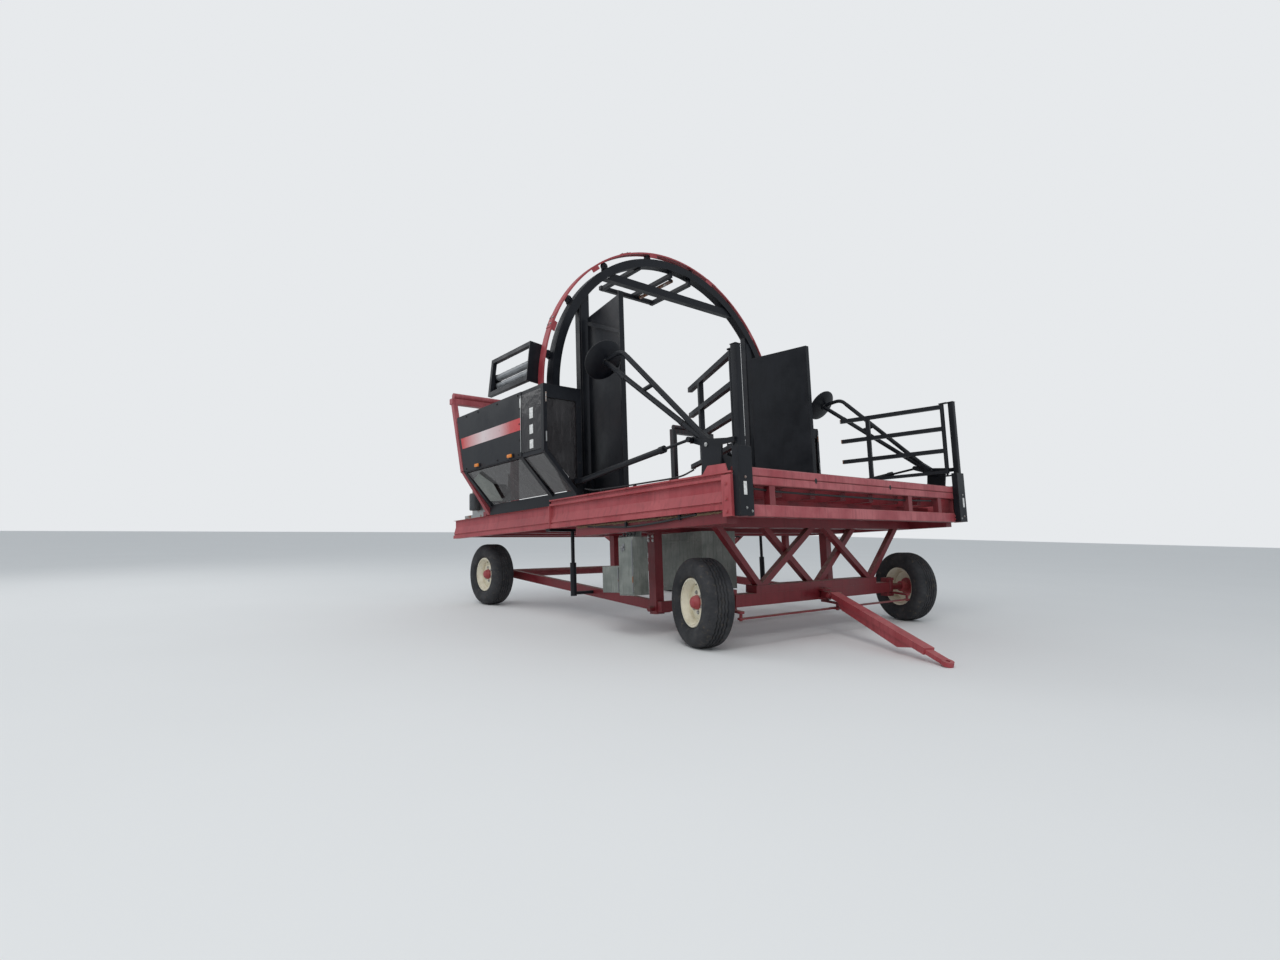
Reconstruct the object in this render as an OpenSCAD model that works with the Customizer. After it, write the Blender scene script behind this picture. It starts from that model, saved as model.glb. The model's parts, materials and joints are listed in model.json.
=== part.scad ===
// Towed in-line bale wrapper, full size, in millimetres.
// World frame: +X towards the tongue, +Y to the machine's left, +Z up, wheels on z = 0.
// The deck frame sits nose-up on the wheels: x = 0 at the front face and negative behind it,
// z counted square to the deck from the level of the front wheels' lowest point.

/* [Running gear] */
// Outer radius of a tyre
wheel_r = 385; // [340:5:420]
// Width of a tyre
tyre_w = 280; // [220:5:300]
// Radius of the rim's flange
rim_r = 213; // [190:1:220]
// Distance between the two axles
wheelbase = 3890; // [3600:10:4000]
// Distance between the middles of the two tyres of an axle
track = 3200; // [3150:10:3260]
// Side of the square front axle beam
axle_side = 110; // [90:5:140]
// Radius of the hub cap
hub_r = 62; // [50:1:80]
// Radius of the kingpin
kingpin_r = 22; // [16:1:30]
// Turn of the tongue to the right as it is parked, in degrees
tongue_rest = 23; // [0:0.5:24]
// Length of the tongue from its pin to the tip
tongue_len = 1560; // [1400:20:1700]
// Width of the tongue
tongue_w = 100; // [90:5:120]
// Bore of the hitch eye
eye_bore_r = 17; // [12:1:24]

/* [Deck] */
// Nose-up tilt of the deck on its wheels, in degrees
deck_pitch = 4.1; // [3:0.1:5]
// Length of a side beam
deck_len = 4950; // [4850:10:5100]
// Width over the side beams
deck_w = 3860; // [3840:10:3900]
// Height of a side beam's lower edge
beam_low = 1140; // [1130:5:1160]
// Height of a side beam's upper edge along its front half
beam_top = 1440; // [1420:5:1460]
// Drop of the upper edge along the rear half
beam_drop = 65; // [50:5:80]
// Length of the higher front half
high_len = 2600; // [2560:10:2640]
// Depth of a side beam's section from inside to outside
beam_depth = 80; // [70:2:90]
// Distance of the front face ahead of the front axle
overhang = 645; // [620:5:700]
// Height of one of the two stacked front tubes
front_tube = 72; // [60:2:76]
// Side of the lower front beam
low_beam = 100; // [80:5:110]
// Height of the corner posts above the lower front beam
post_h = 1375; // [1300:25:1450]
// Width of a corner post
post_w = 175; // [150:5:190]
// Thickness of a corner post
post_t = 60; // [40:5:80]

/* [Gates] */
// Length of a gate
gate_len = 1190; // [1100:10:1240]
// Side of a gate's rails
gate_tube = 46; // [40:2:50]
// Swing of the right gate as it is parked, in degrees
gate_right_rest = 28; // [10:1:40]
// Swing of the left gate as it is parked, in degrees
gate_left_rest = 14; // [6:1:30]

/* [Ring] */
// Distance of the ring's middle behind the front face
ring_x = 2640; // [2620:10:2660]
// Height of the ring's centre
ring_z = 2690; // [2680:10:2720]
// Outer radius of the turning ring
ring_r = 1995; // [1980:5:2010]
// Radial depth of the turning ring
ring_t = 70; // [60:2:80]
// Width of the turning ring
ring_w = 96; // [80:4:100]
// Inner radius of the fixed hoop
hoop_in = 1798; // [1780:2:1810]
// Radial depth of the fixed hoop
hoop_t = 100; // [90:2:106]
// Radius of a track roller
roller_r = 36; // [30:1:42]
// Free reach of the film units from the ring's centre
sweep_r = 2190; // [2170:5:2200]
// Length of a film unit behind the ring
film_len = 930; // [860:10:960]

/* [Guides and guards] */
// Height of the guide panels' upper edge
panel_top = 3550; // [3400:25:3650]
// Spread of the guide panels at their front edge
panel_front_y = 1560; // [1530:5:1580]
// Spread of the guide panels at their rear edge
panel_rear_y = 1400; // [1390:5:1420]
// Thickness of a guide panel
panel_t = 12; // [8:1:16]
// Reach of the guards to each side
guard_y = 2300; // [2290:5:2330]
// Height of the guards' upper edge
guard_top = 2560; // [2520:10:2600]
// Height where a guard's wall turns inwards
guard_knee = 1885; // [1870:5:1910]
// Side of the guards' tubes
guard_tube = 44; // [36:2:48]
// Thickness of the guards' sheets
sheet_t = 8; // [5:1:10]

/* [Disc arms] */
// Distance of an arm's pivot behind the front face
arm_x = 290; // [280:5:310]
// Height of an arm's pivot
arm_z = 1690; // [1680:5:1710]
// Length of an arm from its pivot to the disc
arm_len = 1748; // [1680:4:1780]
// Rise of the arm as it is parked, in degrees
arm_rest = 37.3; // [34:0.1:42]
// Radius of a disc
disc_r = 188; // [160:2:194]
// Radius of an arm's rods
rod_r = 16; // [13:1:18]

/* [Hidden] */

$fn = 64;
right = -1;
left = 1;
steel_red = [0.62, 0.16, 0.19];
deep_red = [0.42, 0.07, 0.09];
satin_black = [0.09, 0.10, 0.12];
cream = [0.88, 0.84, 0.72];
grey_steel = [0.52, 0.54, 0.52];
rubber = [0.10, 0.10, 0.11];
tinted = [0.16, 0.17, 0.19, 0.5];

gap = 0.3;          // rest gap between pieces that meet
pin_gap = 1;        // radial running clearance round a pin
fit_gap = 0.25;     // radial clearance of a pin that only turns in thin plates
half_w = deck_w / 2;
beam_in = half_w - beam_depth;          // inner face of a side beam
rear_top = beam_top - beam_drop;        // upper edge of a side beam's rear half
front_low = beam_low - 57;              // lower face of the front frame
front_top = front_low + low_beam + 156 + 2 * front_tube;
rail_h = 105;                           // depth of the rails under the side beams
rail_in = half_w - 170;
ring_in = ring_r - ring_t;
hoop_out = hoop_in + hoop_t;
hoop_w = 110;
hoop_back = -25;                        // hoop's rear face behind the ring's middle
hoop_front_x = -ring_x + hoop_back + hoop_w;

// Place of the world's origin: the middle of the whole length on the ground.
yaw_x = axle_side / 2 + 35;              // upright steering axis ahead of the front axle
tongue_pin_d = 160;                     // tongue's pin ahead of the steering axis
eye_r = 46;
eye_t = 36;
tongue_drop = asin((wheel_r - eye_t / 2 - 11) / tongue_len);
front_reach = yaw_x + (tongue_pin_d + tongue_len * cos(tongue_drop)) * cos(tongue_rest) + eye_r;
rear_reach = (deck_len - overhang) * cos(deck_pitch) + (rear_top - wheel_r) * sin(deck_pitch);
origin_x = (front_reach - rear_reach) / 2;

// Moves a piece drawn about the front axle's middle on the ground into the world frame.
module on_ground() translate([-origin_x, 0, 0]) children();

// Moves a piece drawn in the deck frame into the world frame.
module on_deck()
    on_ground() translate([0, 0, wheel_r]) rotate([0, -deck_pitch, 0])
        translate([overhang, 0, -wheel_r]) children();

// Mirrors a piece drawn for the right side to the given side.
module to_side(side) mirror([0, side == left ? 1 : 0, 0]) children();

// Box between two opposite corners.
module block(a, b)
    translate([min(a.x, b.x), min(a.y, b.y), min(a.z, b.z)])
        cube([abs(a.x - b.x), abs(a.y - b.y), abs(a.z - b.z)]);

// Round bar between two points.
module round_bar(a, b, r) {
    d = b - a;
    translate(a) rotate([0, acos(d.z / norm(d)), atan2(d.y, d.x)]) cylinder(h = norm(d), r = r);
}

// Round bar along Y with its middle at p.
module pin_y(p, r, length) translate(p) rotate([90, 0, 0]) cylinder(h = length, r = r, center = true);

// Box-section bar between the middles of its two end faces, w wide and h deep.
module square_bar(a, b, w, h) {
    d = b - a;
    translate(a) rotate([0, -asin(d.z / norm(d)), atan2(d.y, d.x)])
        translate([0, -w / 2, -h / 2]) cube([norm(d), w, h]);
}

// Square tube with broken edges along Y, its low rear corner at [x, z].
module chamfered_tube_y(x, z, side, half_span, edge = 9)
    translate([x, half_span, z]) rotate([90, 0, 0]) linear_extrude(2 * half_span)
        polygon([[edge, 0], [side - edge, 0], [side, edge], [side, side - edge],
            [side - edge, side], [edge, side], [0, side - edge], [0, edge]]);

// Section of a side beam, u outwards from its inner face, with its upper edge at height top.
module beam_section(top, upper_lip) {
    d = beam_depth;
    difference() {
        polygon(concat(
            [[0, beam_low], [d, beam_low], [d, beam_low + 40], [d - 16, beam_low + 44],
             [d - 16, beam_low + 56], [d - 8, beam_low + 60], [d - 34, beam_low + 148],
             [d - 34, rear_top - 5], [d, rear_top]],
            upper_lip ? [[d, rear_top + 22], [d - 20, rear_top + 26], [d - 20, top - 18], [d, top - 14], [d, top]] : [],
            [[0, top]]));
        translate([-1, beam_low + 14]) square([d - 47, top - beam_low - 28]);
    }
}

module side_beam(side) color(steel_red) on_deck() to_side(side) {
    for (part = [[0, high_len, beam_top, true], [high_len, deck_len, rear_top, false]])
        translate([-part[0], -beam_in, 0]) rotate([90, 0, -90])
            linear_extrude(part[1] - part[0]) beam_section(part[2], part[3]);
    // stiffener at the step, end plate, front flange and the gusset lug on the front end
    block([-high_len - 8, -half_w - 6, beam_low], [-high_len + 8, -beam_in - 10, rear_top - 1]);
    block([-98, -half_w - 9, front_low], [0, -half_w, beam_top - 30]);
    block([-12, -half_w - 9, front_low], [0, -beam_in - 10, beam_top - 30]);
    translate([0, -half_w + 14, 0]) rotate([90, 0, 0]) linear_extrude(12)
        polygon([[-310, beam_top - 1], [-250, beam_top + 66], [-60, beam_top + 62], [-40, beam_top - 1]]);
}

// Two stacked tubes over one lower beam, with uprights between them.
module front_frame() color(steel_red) on_deck() {
    span = beam_in - gap;
    for (i = [0, 1])
        chamfered_tube_y(-front_tube, front_low + low_beam + 156 + i * front_tube, front_tube, span);
    chamfered_tube_y(-low_beam, front_low, low_beam, span, 7);
    for (y = [-1430, 800, 1430])
        block([-66, y - 36, front_low + low_beam - 1], [-6, y + 36, front_low + low_beam + 157]);
    for (side = [right, left])
        block([-front_tube + 10, side * (span - 40), front_low + 10], [-14, side * (span - 90), front_top - 10]);
}

// Corner posts, each with the brackets and pin of its gate and the bracket and pin of its disc arm.
post_out = half_w - 60;
gate_pin_r = 12;
gate_axis_x = -60;
gate_axis_y = post_out - 80;
gate_low = beam_top + 200;
gate_high = front_low + post_h - 20;
arm_y = half_w - 92;
arm_pin_r = 20;
arm_bracket_y = arm_y + 35;
module corner_posts() color(satin_black) on_deck() for (side = [right, left]) to_side(side) {
    block([gap, -post_out, front_low], [post_t, -post_out + post_w, front_low + post_h]);
    translate([gate_axis_x, -gate_axis_y, gate_low - 34]) cylinder(h = gate_high - gate_low + 54, r = gate_pin_r);
    for (z = [gate_low - 34, gate_high + 6])
        block([gate_axis_x - 26, -gate_axis_y - 24, z], [gap + 5, -gate_axis_y + 24, z + 14]);
    // disc arm's bracket, tied forwards to the post
    translate([0, -arm_bracket_y, 0]) rotate([90, 0, 0]) linear_extrude(16)
        polygon([[-arm_x - 70, beam_top + gap], [-arm_x - 46, arm_z + 10], [-arm_x - 30, arm_z + 44],
            [-arm_x + 30, arm_z + 44], [-60, arm_z + 20], [gap + 5, arm_z + 20], [gap + 5, arm_z - 24],
            [-120, arm_z - 24], [-150, beam_top + gap]]);
    block([gap, -arm_bracket_y - 16, arm_z - 24], [gap + 14, -post_out + 10, arm_z + 20]);
    pin_y([-arm_x, -arm_bracket_y + 32, arm_z], arm_pin_r, 66);
}

// Gate of square tubes that turns on the corner post's pin.
gate_rails = [0, 255, 510, 762];        // drop of each rail below the top one
gate_inner = 830;                       // upright's distance from the pin
module gate(side) color(satin_black) on_deck() to_side(side)
    translate([gate_axis_x, -gate_axis_y, 0])
    rotate([0, 0, -(side == left ? gate_left_rest : gate_right_rest)]) difference() {
        union() {
            translate([0, 0, gate_low]) cylinder(h = gate_high - gate_low, r = gate_tube / 2);
            for (drop = gate_rails)
                block([-gate_len, -gate_tube / 2, max(gate_low, gate_high - drop - gate_tube)],
                    [0, gate_tube / 2, gate_high - drop]);
            block([-gate_inner - gate_tube, -gate_tube / 2, gate_low],
                [-gate_inner, gate_tube / 2, gate_high]);
        }
        translate([0, 0, gate_low - 1]) cylinder(h = gate_high - gate_low + 2, r = gate_pin_r + pin_gap);
    }

// Slide rails of a bale bed on cross members between the side beams.
bed_rail_y = [-1200, -720, -240, 240, 720, 1200];
guide_rail_y = 1560;                    // outer rails that carry the guide panels
module bed(x_front, x_rear, crosses, top, rails) {
    for (x = crosses)
        block([x - 45, -beam_in - 30, beam_low + 16], [x + 45, beam_in + 30, beam_low + 130]);
    for (y = rails)
        block([x_rear, y - 40, beam_low + 129], [x_front, y + 40, top]);
}
module front_bed() color(deep_red) on_deck() {
    bed(-low_beam - 20, -high_len + 60, [-420, -1280, -2060], rear_top + 20,
        concat([-guide_rail_y], bed_rail_y, [guide_rail_y]));
    // rear cross member that the hoop is bolted to
    block([hoop_front_x + gap, -beam_in - 30, beam_low + 16], [hoop_front_x + 90, beam_in + 30, rear_top + 10]);
}
module rear_bed() color(deep_red) on_deck() {
    bed(-3760, -deck_len + 40, [-3850, -4480, -deck_len + 60], rear_top, bed_rail_y);
    block([-deck_len + 10, -beam_in - 30, beam_low + 16], [-deck_len + 60, beam_in + 30, rear_top - 16]);
}

// Frame under the deck: rails, legs with their feet and the lattice on the front axle.
leg_x = 1500;
leg_y = 1420;
leg_side = 100;
foot_z = 250;
swing_pin_z = foot_z + 52;
swing_pin_r = 24;
vee_y = 920;
module under_frame() color(deep_red) {
    on_deck() difference() {
        union() {
            for (side = [right, left]) {
                block([-2180, side * rail_in, beam_low - rail_h], [-110, side * (half_w - 46), beam_low - gap]);
                block([-leg_x - leg_side / 2, side * (leg_y - leg_side / 2), foot_z],
                    [-leg_x + leg_side / 2, side * (leg_y + leg_side / 2), beam_low - rail_h + 1]);
                block([-2160, side * (leg_y - 20), 700], [-2090, side * (leg_y + 50), beam_low - rail_h + 1]);
            }
            for (x = [-2120, -leg_x])
                block([x - 50, -half_w + 46, beam_low - rail_h], [x + 50, half_w - 46, beam_low - gap]);
            block([-leg_x + leg_side / 2 - 1, -leg_y - 40, foot_z + 20], [-leg_x + 110, leg_y + 40, foot_z + 120]);
        }
        for (side = [right, left])
            pin_y([-leg_x, side * leg_y, swing_pin_z], swing_pin_r + fit_gap, leg_side + 4);
    }
    on_ground() block([-75, -1010, wheel_r + axle_side / 2 + gap], [55, 1010, wheel_r + axle_side / 2 + 70]);
    on_deck() {
        for (side = [right, left], top_y = [60, 1520])
            square_bar([-overhang + 20, side * vee_y, wheel_r + 100],
                [-overhang + 45, side * top_y, beam_low - 60], 60, 60);
        for (side = [right, left])
            square_bar([-overhang - 40, side * 60, wheel_r + 100],
                [-overhang - 40, side * 790, beam_low - 60], 60, 60);
        block([-overhang - 90, -half_w + 60, beam_low - rail_h], [-overhang + 90, half_w - 60, beam_low - gap]);
    }
}

// Front axle beam with a fork for the kingpin at each end and a fork for the steering pin in front.
kingpin_y = 1370;
knuckle_h = 150;
fork_t = 26;
yaw_pin_r = 20;
module front_axle() color(deep_red) on_ground() translate([0, 0, wheel_r]) {
    block([-axle_side / 2, -kingpin_y + 80, -axle_side / 2], [axle_side / 2, kingpin_y - 80, axle_side / 2]);
    for (side = [right, left]) {
        for (z = [-knuckle_h / 2 - fork_t, knuckle_h / 2])
            difference() {
                union() {
                    translate([0, side * kingpin_y, z]) cylinder(h = fork_t, r = 50);
                    block([-42, side * kingpin_y, z], [42, side * (kingpin_y - 82), z + fork_t]);
                }
                translate([0, side * kingpin_y, z - 1]) cylinder(h = fork_t + 2, r = kingpin_r + fit_gap);
            }
        block([-42, side * (kingpin_y - 108), -knuckle_h / 2 - fork_t],
            [42, side * (kingpin_y - 76), knuckle_h / 2 + fork_t]);
    }
    for (z = [-axle_side / 2, axle_side / 2 - 22])
        difference() {
            union() {
                block([axle_side / 2 - 1, -60, z], [yaw_x, 60, z + 22]);
                translate([yaw_x, 0, z]) cylinder(h = 22, r = 60);
            }
            translate([yaw_x, 0, z - 1]) cylinder(h = 24, r = yaw_pin_r + fit_gap);
        }
}

// Knuckle: kingpin with its barrel, stub axle and the arm that the tie rod moves.
stub_r = 38;
steer_arm = 272;
link_z = -118;
link_pin_r = 14;
module knuckle(side) color(deep_red) on_ground() translate([0, side * kingpin_y, wheel_r])
    rotate([0, 0, -steer_rest]) {
        translate([0, 0, -knuckle_h / 2 + 2]) cylinder(h = knuckle_h - 4, r = 42);
        translate([0, 0, -knuckle_h / 2 - fork_t - 5]) cylinder(h = knuckle_h + 2 * fork_t + 10, r = kingpin_r);
        rotate([side == left ? -90 : 90, 0, 0]) cylinder(h = track / 2 - kingpin_y + 26, r = stub_r);
        translate([0, 0, -knuckle_h / 2 + 2]) block([0, -24, 0], [steer_arm, 24, 20]);
        translate([steer_arm, 0, -knuckle_h / 2 + 2]) cylinder(h = 20, r = 30);
        translate([steer_arm, 0, link_z - 18]) cylinder(h = -knuckle_h / 2 + 3 - link_z + 18, r = link_pin_r);
    }

// Tie rod: both arms and the plate's lug swing it sideways while it stays square to the machine.
lug_arm = 215.1;
steer_rest = asin(lug_arm * sin(tongue_rest) / steer_arm);
lug_x = yaw_x + lug_arm * cos(tongue_rest);
link_side = -steer_arm * sin(steer_rest);
link_x = steer_arm * cos(steer_rest);
lug_pin_r = 16;
module tie_rod() color(deep_red) on_ground() translate([0, link_side, wheel_r + link_z]) difference() {
    union() {
        block([link_x - 18, -kingpin_y, -7], [link_x + 18, kingpin_y, 7]);
        for (side = [right, left])
            translate([link_x, side * kingpin_y, -7]) cylinder(h = 14, r = 30);
        block([link_x - 30, -52, -7], [link_x + 72, 52, 7]);
    }
    for (side = [right, left])
        translate([link_x, side * kingpin_y, -8]) cylinder(h = 16, r = link_pin_r + pin_gap);
    // slot that lets the plate's lug swing on its own shorter circle
    for (x = [-8, 8])
        translate([lug_x + x, 0, -8]) cylinder(h = 16, r = lug_pin_r + 3);
    block([lug_x - 8, -lug_pin_r - 3, -8], [lug_x + 8, lug_pin_r + 3, 8]);
}

// Plate between the axle and the tongue: turns about the upright pin and steers the tie rod.
plate_h = axle_side - 44 - 4;
tongue_pin_r = 20;
ear_gap = tongue_w + 12;
module drawbar_plate() color(deep_red) on_ground() translate([yaw_x, 0, wheel_r]) rotate([0, 0, -tongue_rest]) {
    difference() {
        union() {
            translate([0, 0, -plate_h / 2]) cylinder(h = plate_h, r = yaw_x - axle_side / 2 - 5);
            block([0, -50, -plate_h / 2], [92, 50, plate_h / 2]);
            block([80, -ear_gap / 2 - 18, -plate_h / 2], [102, ear_gap / 2 + 18, plate_h / 2]);
            for (s = [-1, 1]) {
                block([80, s * ear_gap / 2, -plate_h / 2], [tongue_pin_d, s * (ear_gap / 2 + 18), plate_h / 2]);
                pin_y([tongue_pin_d, s * (ear_gap / 2 + 9), 0], plate_h / 2, 18);
            }
        }
        pin_y([tongue_pin_d, 0, 0], tongue_pin_r + fit_gap, ear_gap + 80);
    }
    translate([0, 0, -axle_side / 2 - 24]) cylinder(h = axle_side + 32, r = yaw_pin_r);
    // arm and lug under the fork for the tie rod
    translate([0, 0, -axle_side / 2 - 24]) cylinder(h = 16, r = 42);
    block([0, -24, -axle_side / 2 - 24], [lug_arm, 24, -axle_side / 2 - 8]);
    translate([lug_arm, 0, -axle_side / 2 - 24]) cylinder(h = 16, r = 28);
    translate([lug_arm, 0, link_z - 18]) cylinder(h = -axle_side / 2 - 8 - link_z + 18, r = lug_pin_r);
}

// Tongue: a channel on a deeper keel that stops short of the flat hitch eye at the tip.
module tongue() color(steel_red) on_ground() translate([yaw_x, 0, wheel_r]) rotate([0, 0, -tongue_rest])
    translate([tongue_pin_d, 0, 0]) rotate([0, tongue_drop, 0]) difference() {
        union() {
            pin_y([0, 0, 0], 32, tongue_w);
            block([0, -tongue_w / 2, -22], [tongue_len - 210, tongue_w / 2, 32]);
            translate([0, tongue_w / 2 - 12, 0]) rotate([90, 0, 0]) linear_extrude(tongue_w - 24)
                polygon([[110, -20], [200, -78], [tongue_len * 0.66, -96], [tongue_len * 0.78, -20]]);
            block([tongue_len - 330, -36, -eye_t / 2], [tongue_len, 36, eye_t / 2]);
            translate([tongue_len, 0, -eye_t / 2]) cylinder(h = eye_t, r = eye_r);
            pin_y([0, 0, 0], tongue_pin_r, ear_gap + 50);
        }
        translate([tongue_len, 0, -eye_t]) cylinder(h = 2 * eye_t, r = eye_bore_r);
    }

// Rear axle on its swing frame, which is pinned in the feet of the legs.
swing_y = 1300;
arm_h = 96;
rear_axle_x = -overhang - wheelbase * cos(deck_pitch);
rear_axle_z = wheel_r + wheelbase * sin(deck_pitch);
module rear_axle() color(deep_red) on_deck() {
    for (side = [right, left]) {
        square_bar([-leg_x, side * swing_y, swing_pin_z], [rear_axle_x, side * swing_y, rear_axle_z], 70, arm_h);
        pin_y([-leg_x, side * swing_y, swing_pin_z], arm_h / 2 + 0.5, 78);
        pin_y([-leg_x, side * (leg_y - 10), swing_pin_z], swing_pin_r, 240);
        translate([rear_axle_x, 0, rear_axle_z]) rotate([side == left ? -90 : 90, 0, 0])
            cylinder(h = track / 2 + 26, r = stub_r);
    }
    pin_y([rear_axle_x, 0, rear_axle_z], 52, 2 * swing_y + 200);
}

// Lift cylinders of the swing frame.
lift_x = 2670;
lift_y = 1590;
module lift_cylinders() color(grey_steel) on_deck() {
    arm_z0 = swing_pin_z + (lift_x - leg_x) * (rear_axle_z - swing_pin_z) / (-rear_axle_x - leg_x);
    for (side = [right, left]) {
        round_bar([-lift_x, side * lift_y, arm_z0 - 30], [-lift_x, side * lift_y, arm_z0 + 330], 34);
        round_bar([-lift_x, side * lift_y, arm_z0 + 320], [-lift_x, side * lift_y, beam_low - 20], 20);
        pin_y([-lift_x, side * (lift_y + swing_y + 35) / 2, arm_z0], 18, lift_y - swing_y - 35 - 2 * gap);
        block([-lift_x - 40, side * (lift_y - 22), beam_low - 30], [-lift_x + 40, side * (half_w - 20), beam_low - gap]);
    }
}

// Wheels, drawn about their own middle with the axis along Y and the outer face towards -Y.
rim_w = 200;
bead_r = rim_r + gap + 1;
module tyre_shape() rotate([90, 0, 0]) rotate_extrude()
    polygon([
        [rim_r - 6, -78], [bead_r, -82], [rim_r + 22, -tyre_w / 2 + 12], [wheel_r - 74, -tyre_w / 2],
        [wheel_r - 26, -tyre_w / 2 + 20], [wheel_r - 6, -tyre_w / 2 + 52],
        [wheel_r - 3, -66], [wheel_r - 14, -62], [wheel_r - 14, -52], [wheel_r, -48],
        [wheel_r, -8], [wheel_r - 12, -5], [wheel_r - 12, 5], [wheel_r, 8],
        [wheel_r, 48], [wheel_r - 14, 52], [wheel_r - 14, 62], [wheel_r - 3, 66],
        [wheel_r - 6, tyre_w / 2 - 52], [wheel_r - 26, tyre_w / 2 - 20], [wheel_r - 74, tyre_w / 2],
        [rim_r + 22, tyre_w / 2 - 12], [bead_r, 82], [rim_r - 6, 78]]);

// Rim: flanges and drop-centre well with the disc that bolts to the hub.
module rim_shape() rotate([90, 0, 0]) rotate_extrude()
    polygon([
        [hub_r, 30], [110, 30], [150, 12], [rim_r - 46, 12], [rim_r - 40, -40], [rim_r - 18, -rim_w / 2 + 10],
        [rim_r, -rim_w / 2 + 2], [rim_r, -rim_w / 2 + 12], [rim_r - 7, -rim_w / 2 + 15], [rim_r - 30, -40],
        [rim_r - 32, 40], [rim_r - 7, rim_w / 2 - 15], [rim_r, rim_w / 2 - 12], [rim_r, rim_w / 2],
        [rim_r - 14, rim_w / 2], [rim_r - 44, 44], [rim_r - 46, 22], [150, 22], [110, 42], [hub_r, 42]]);

// Hub: bearing barrel on the stub axle, wheel flange and the domed cap.
module hub_shape() rotate([90, 0, 0]) rotate_extrude()
    polygon([
        [stub_r + pin_gap, -70], [hub_r - 4, -70], [hub_r - 4, 20], [96, 22], [96, 30 - gap], [hub_r - gap, 30 - gap],
        [hub_r - gap, 60], [hub_r - 8, 76], [hub_r - 18, 96], [hub_r - 36, 106], [0, 108],
        [0, 34], [stub_r + pin_gap, 34]]);

module at_front_wheel(side) on_ground() translate([0, side * kingpin_y, wheel_r]) rotate([0, 0, -steer_rest])
    translate([0, side * (track / 2 - kingpin_y), 0]) mirror([0, side == left ? 1 : 0, 0]) children();
module at_rear_wheel(side) on_ground() translate([-wheelbase, side * track / 2, wheel_r])
    mirror([0, side == left ? 1 : 0, 0]) children();

// Fixed hoop: a flat black ring that carries the track rollers on its rear face.
roller_count = 16;
roller_at = ring_in - roller_r - gap;
module at_ring() on_deck() translate([-ring_x, 0, ring_z]) rotate([90, 0, 90]) children();
module hoop() color(satin_black) at_ring() {
    translate([0, 0, hoop_back]) rotate_extrude($fn = 96)
        polygon([[hoop_in, 0], [hoop_out, 0], [hoop_out, hoop_w], [hoop_in, hoop_w]]);
    for (i = [0 : roller_count - 1])
        rotate([0, 0, (i + 0.5) * 360 / roller_count]) translate([roller_at, 0, -46]) {
            cylinder(h = 20, r = roller_r, $fn = 32);
            cylinder(h = 30, r = 12, $fn = 32);
        }
}

// Turning ring with its joint straps.
strap_count = 8;
module ring() color(steel_red) at_ring() {
    rotate_extrude($fn = 96)
        polygon([[ring_in, -ring_w / 2], [ring_r, -ring_w / 2], [ring_r, ring_w / 2], [ring_in, ring_w / 2]]);
    for (i = [0 : strap_count - 1])
        rotate([0, 0, (i + 0.5) * 360 / strap_count])
            translate([ring_in + 8, -60, -ring_w / 2 + 6]) cube([ring_t, 120, ring_w - 2]);
}

// Film unit: a frame that reaches back from the ring with its two stretch rollers.
film_tilt = 7;          // turn of the right unit above the ring's side, in degrees
film_out = sweep_r - 62;
stretch_rollers = [[-sweep_r + 150, 36], [-sweep_r + 160, -64]];
module film_unit(side) color(satin_black) on_deck() translate([-ring_x, 0, ring_z])
    rotate([-film_tilt + (side == left ? 180 : 0), 0, 0]) {
        back = -ring_w / 2 - gap;
        block([back - 14, -film_out, -206], [back, -ring_in - 16, 248]);
        for (z = [200, -206])
            block([-film_len, -film_out, z], [back - 4, -film_out + 48, z + 48]);
        block([-film_len, -film_out, -206], [-film_len + 48, -film_out + 48, 248]);
        for (p = stretch_rollers) {
            round_bar([-film_len + 10, p[0], p[1]], [back - 4, p[0], p[1]], 38);
            block([-film_len + 10, -film_out + 1, p[1] - 22], [-film_len + 34, p[0] + 30, p[1] + 22]);
        }
    }

// Portal inside the hoop: posts, chord, second chord and the tubes that join them.
portal_y = 1430;
portal_w = 140;
chord_z = 4110;
roof_z = ring_z + sqrt(hoop_in * hoop_in - 640 * 640) - 70;
module portal() color(satin_black) on_deck() {
    x0 = -ring_x + hoop_back + 8;
    x1 = x0 + hoop_w - 30;
    r = hoop_in - gap;
    y0 = portal_y - portal_w / 2;
    y1 = portal_y + portal_w / 2;
    low = chord_z - 50 - ring_z;
    high = chord_z + 50 - ring_z;
    // posts and chord reach the hoop's inner face with slanted ends
    translate([x0, 0, ring_z]) rotate([90, 0, 90]) linear_extrude(x1 - x0) {
        for (s = [-1, 1])
            polygon([[s * y0, -sqrt(r * r - y0 * y0)], [s * y1, -sqrt(r * r - y1 * y1)],
                [s * y1, sqrt(r * r - y1 * y1)], [s * y0, sqrt(r * r - y0 * y0)]]);
        polygon([[-sqrt(r * r - low * low), low], [sqrt(r * r - low * low), low],
            [sqrt(r * r - high * high), high], [-sqrt(r * r - high * high), high]]);
    }
    for (y = [-560, -20, 310, 600])
        block([-3330, y - 28, roof_z], [x1 - 20, y + 28, roof_z + 56]);
    for (y = [-560, 600])
        block([x0 + 10, y - 24, chord_z + 40], [x1 - 20, y + 24, roof_z + 10]);
    block([-3380, -760, roof_z - 30], [-3324, 760, roof_z + 56]);
}

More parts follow.
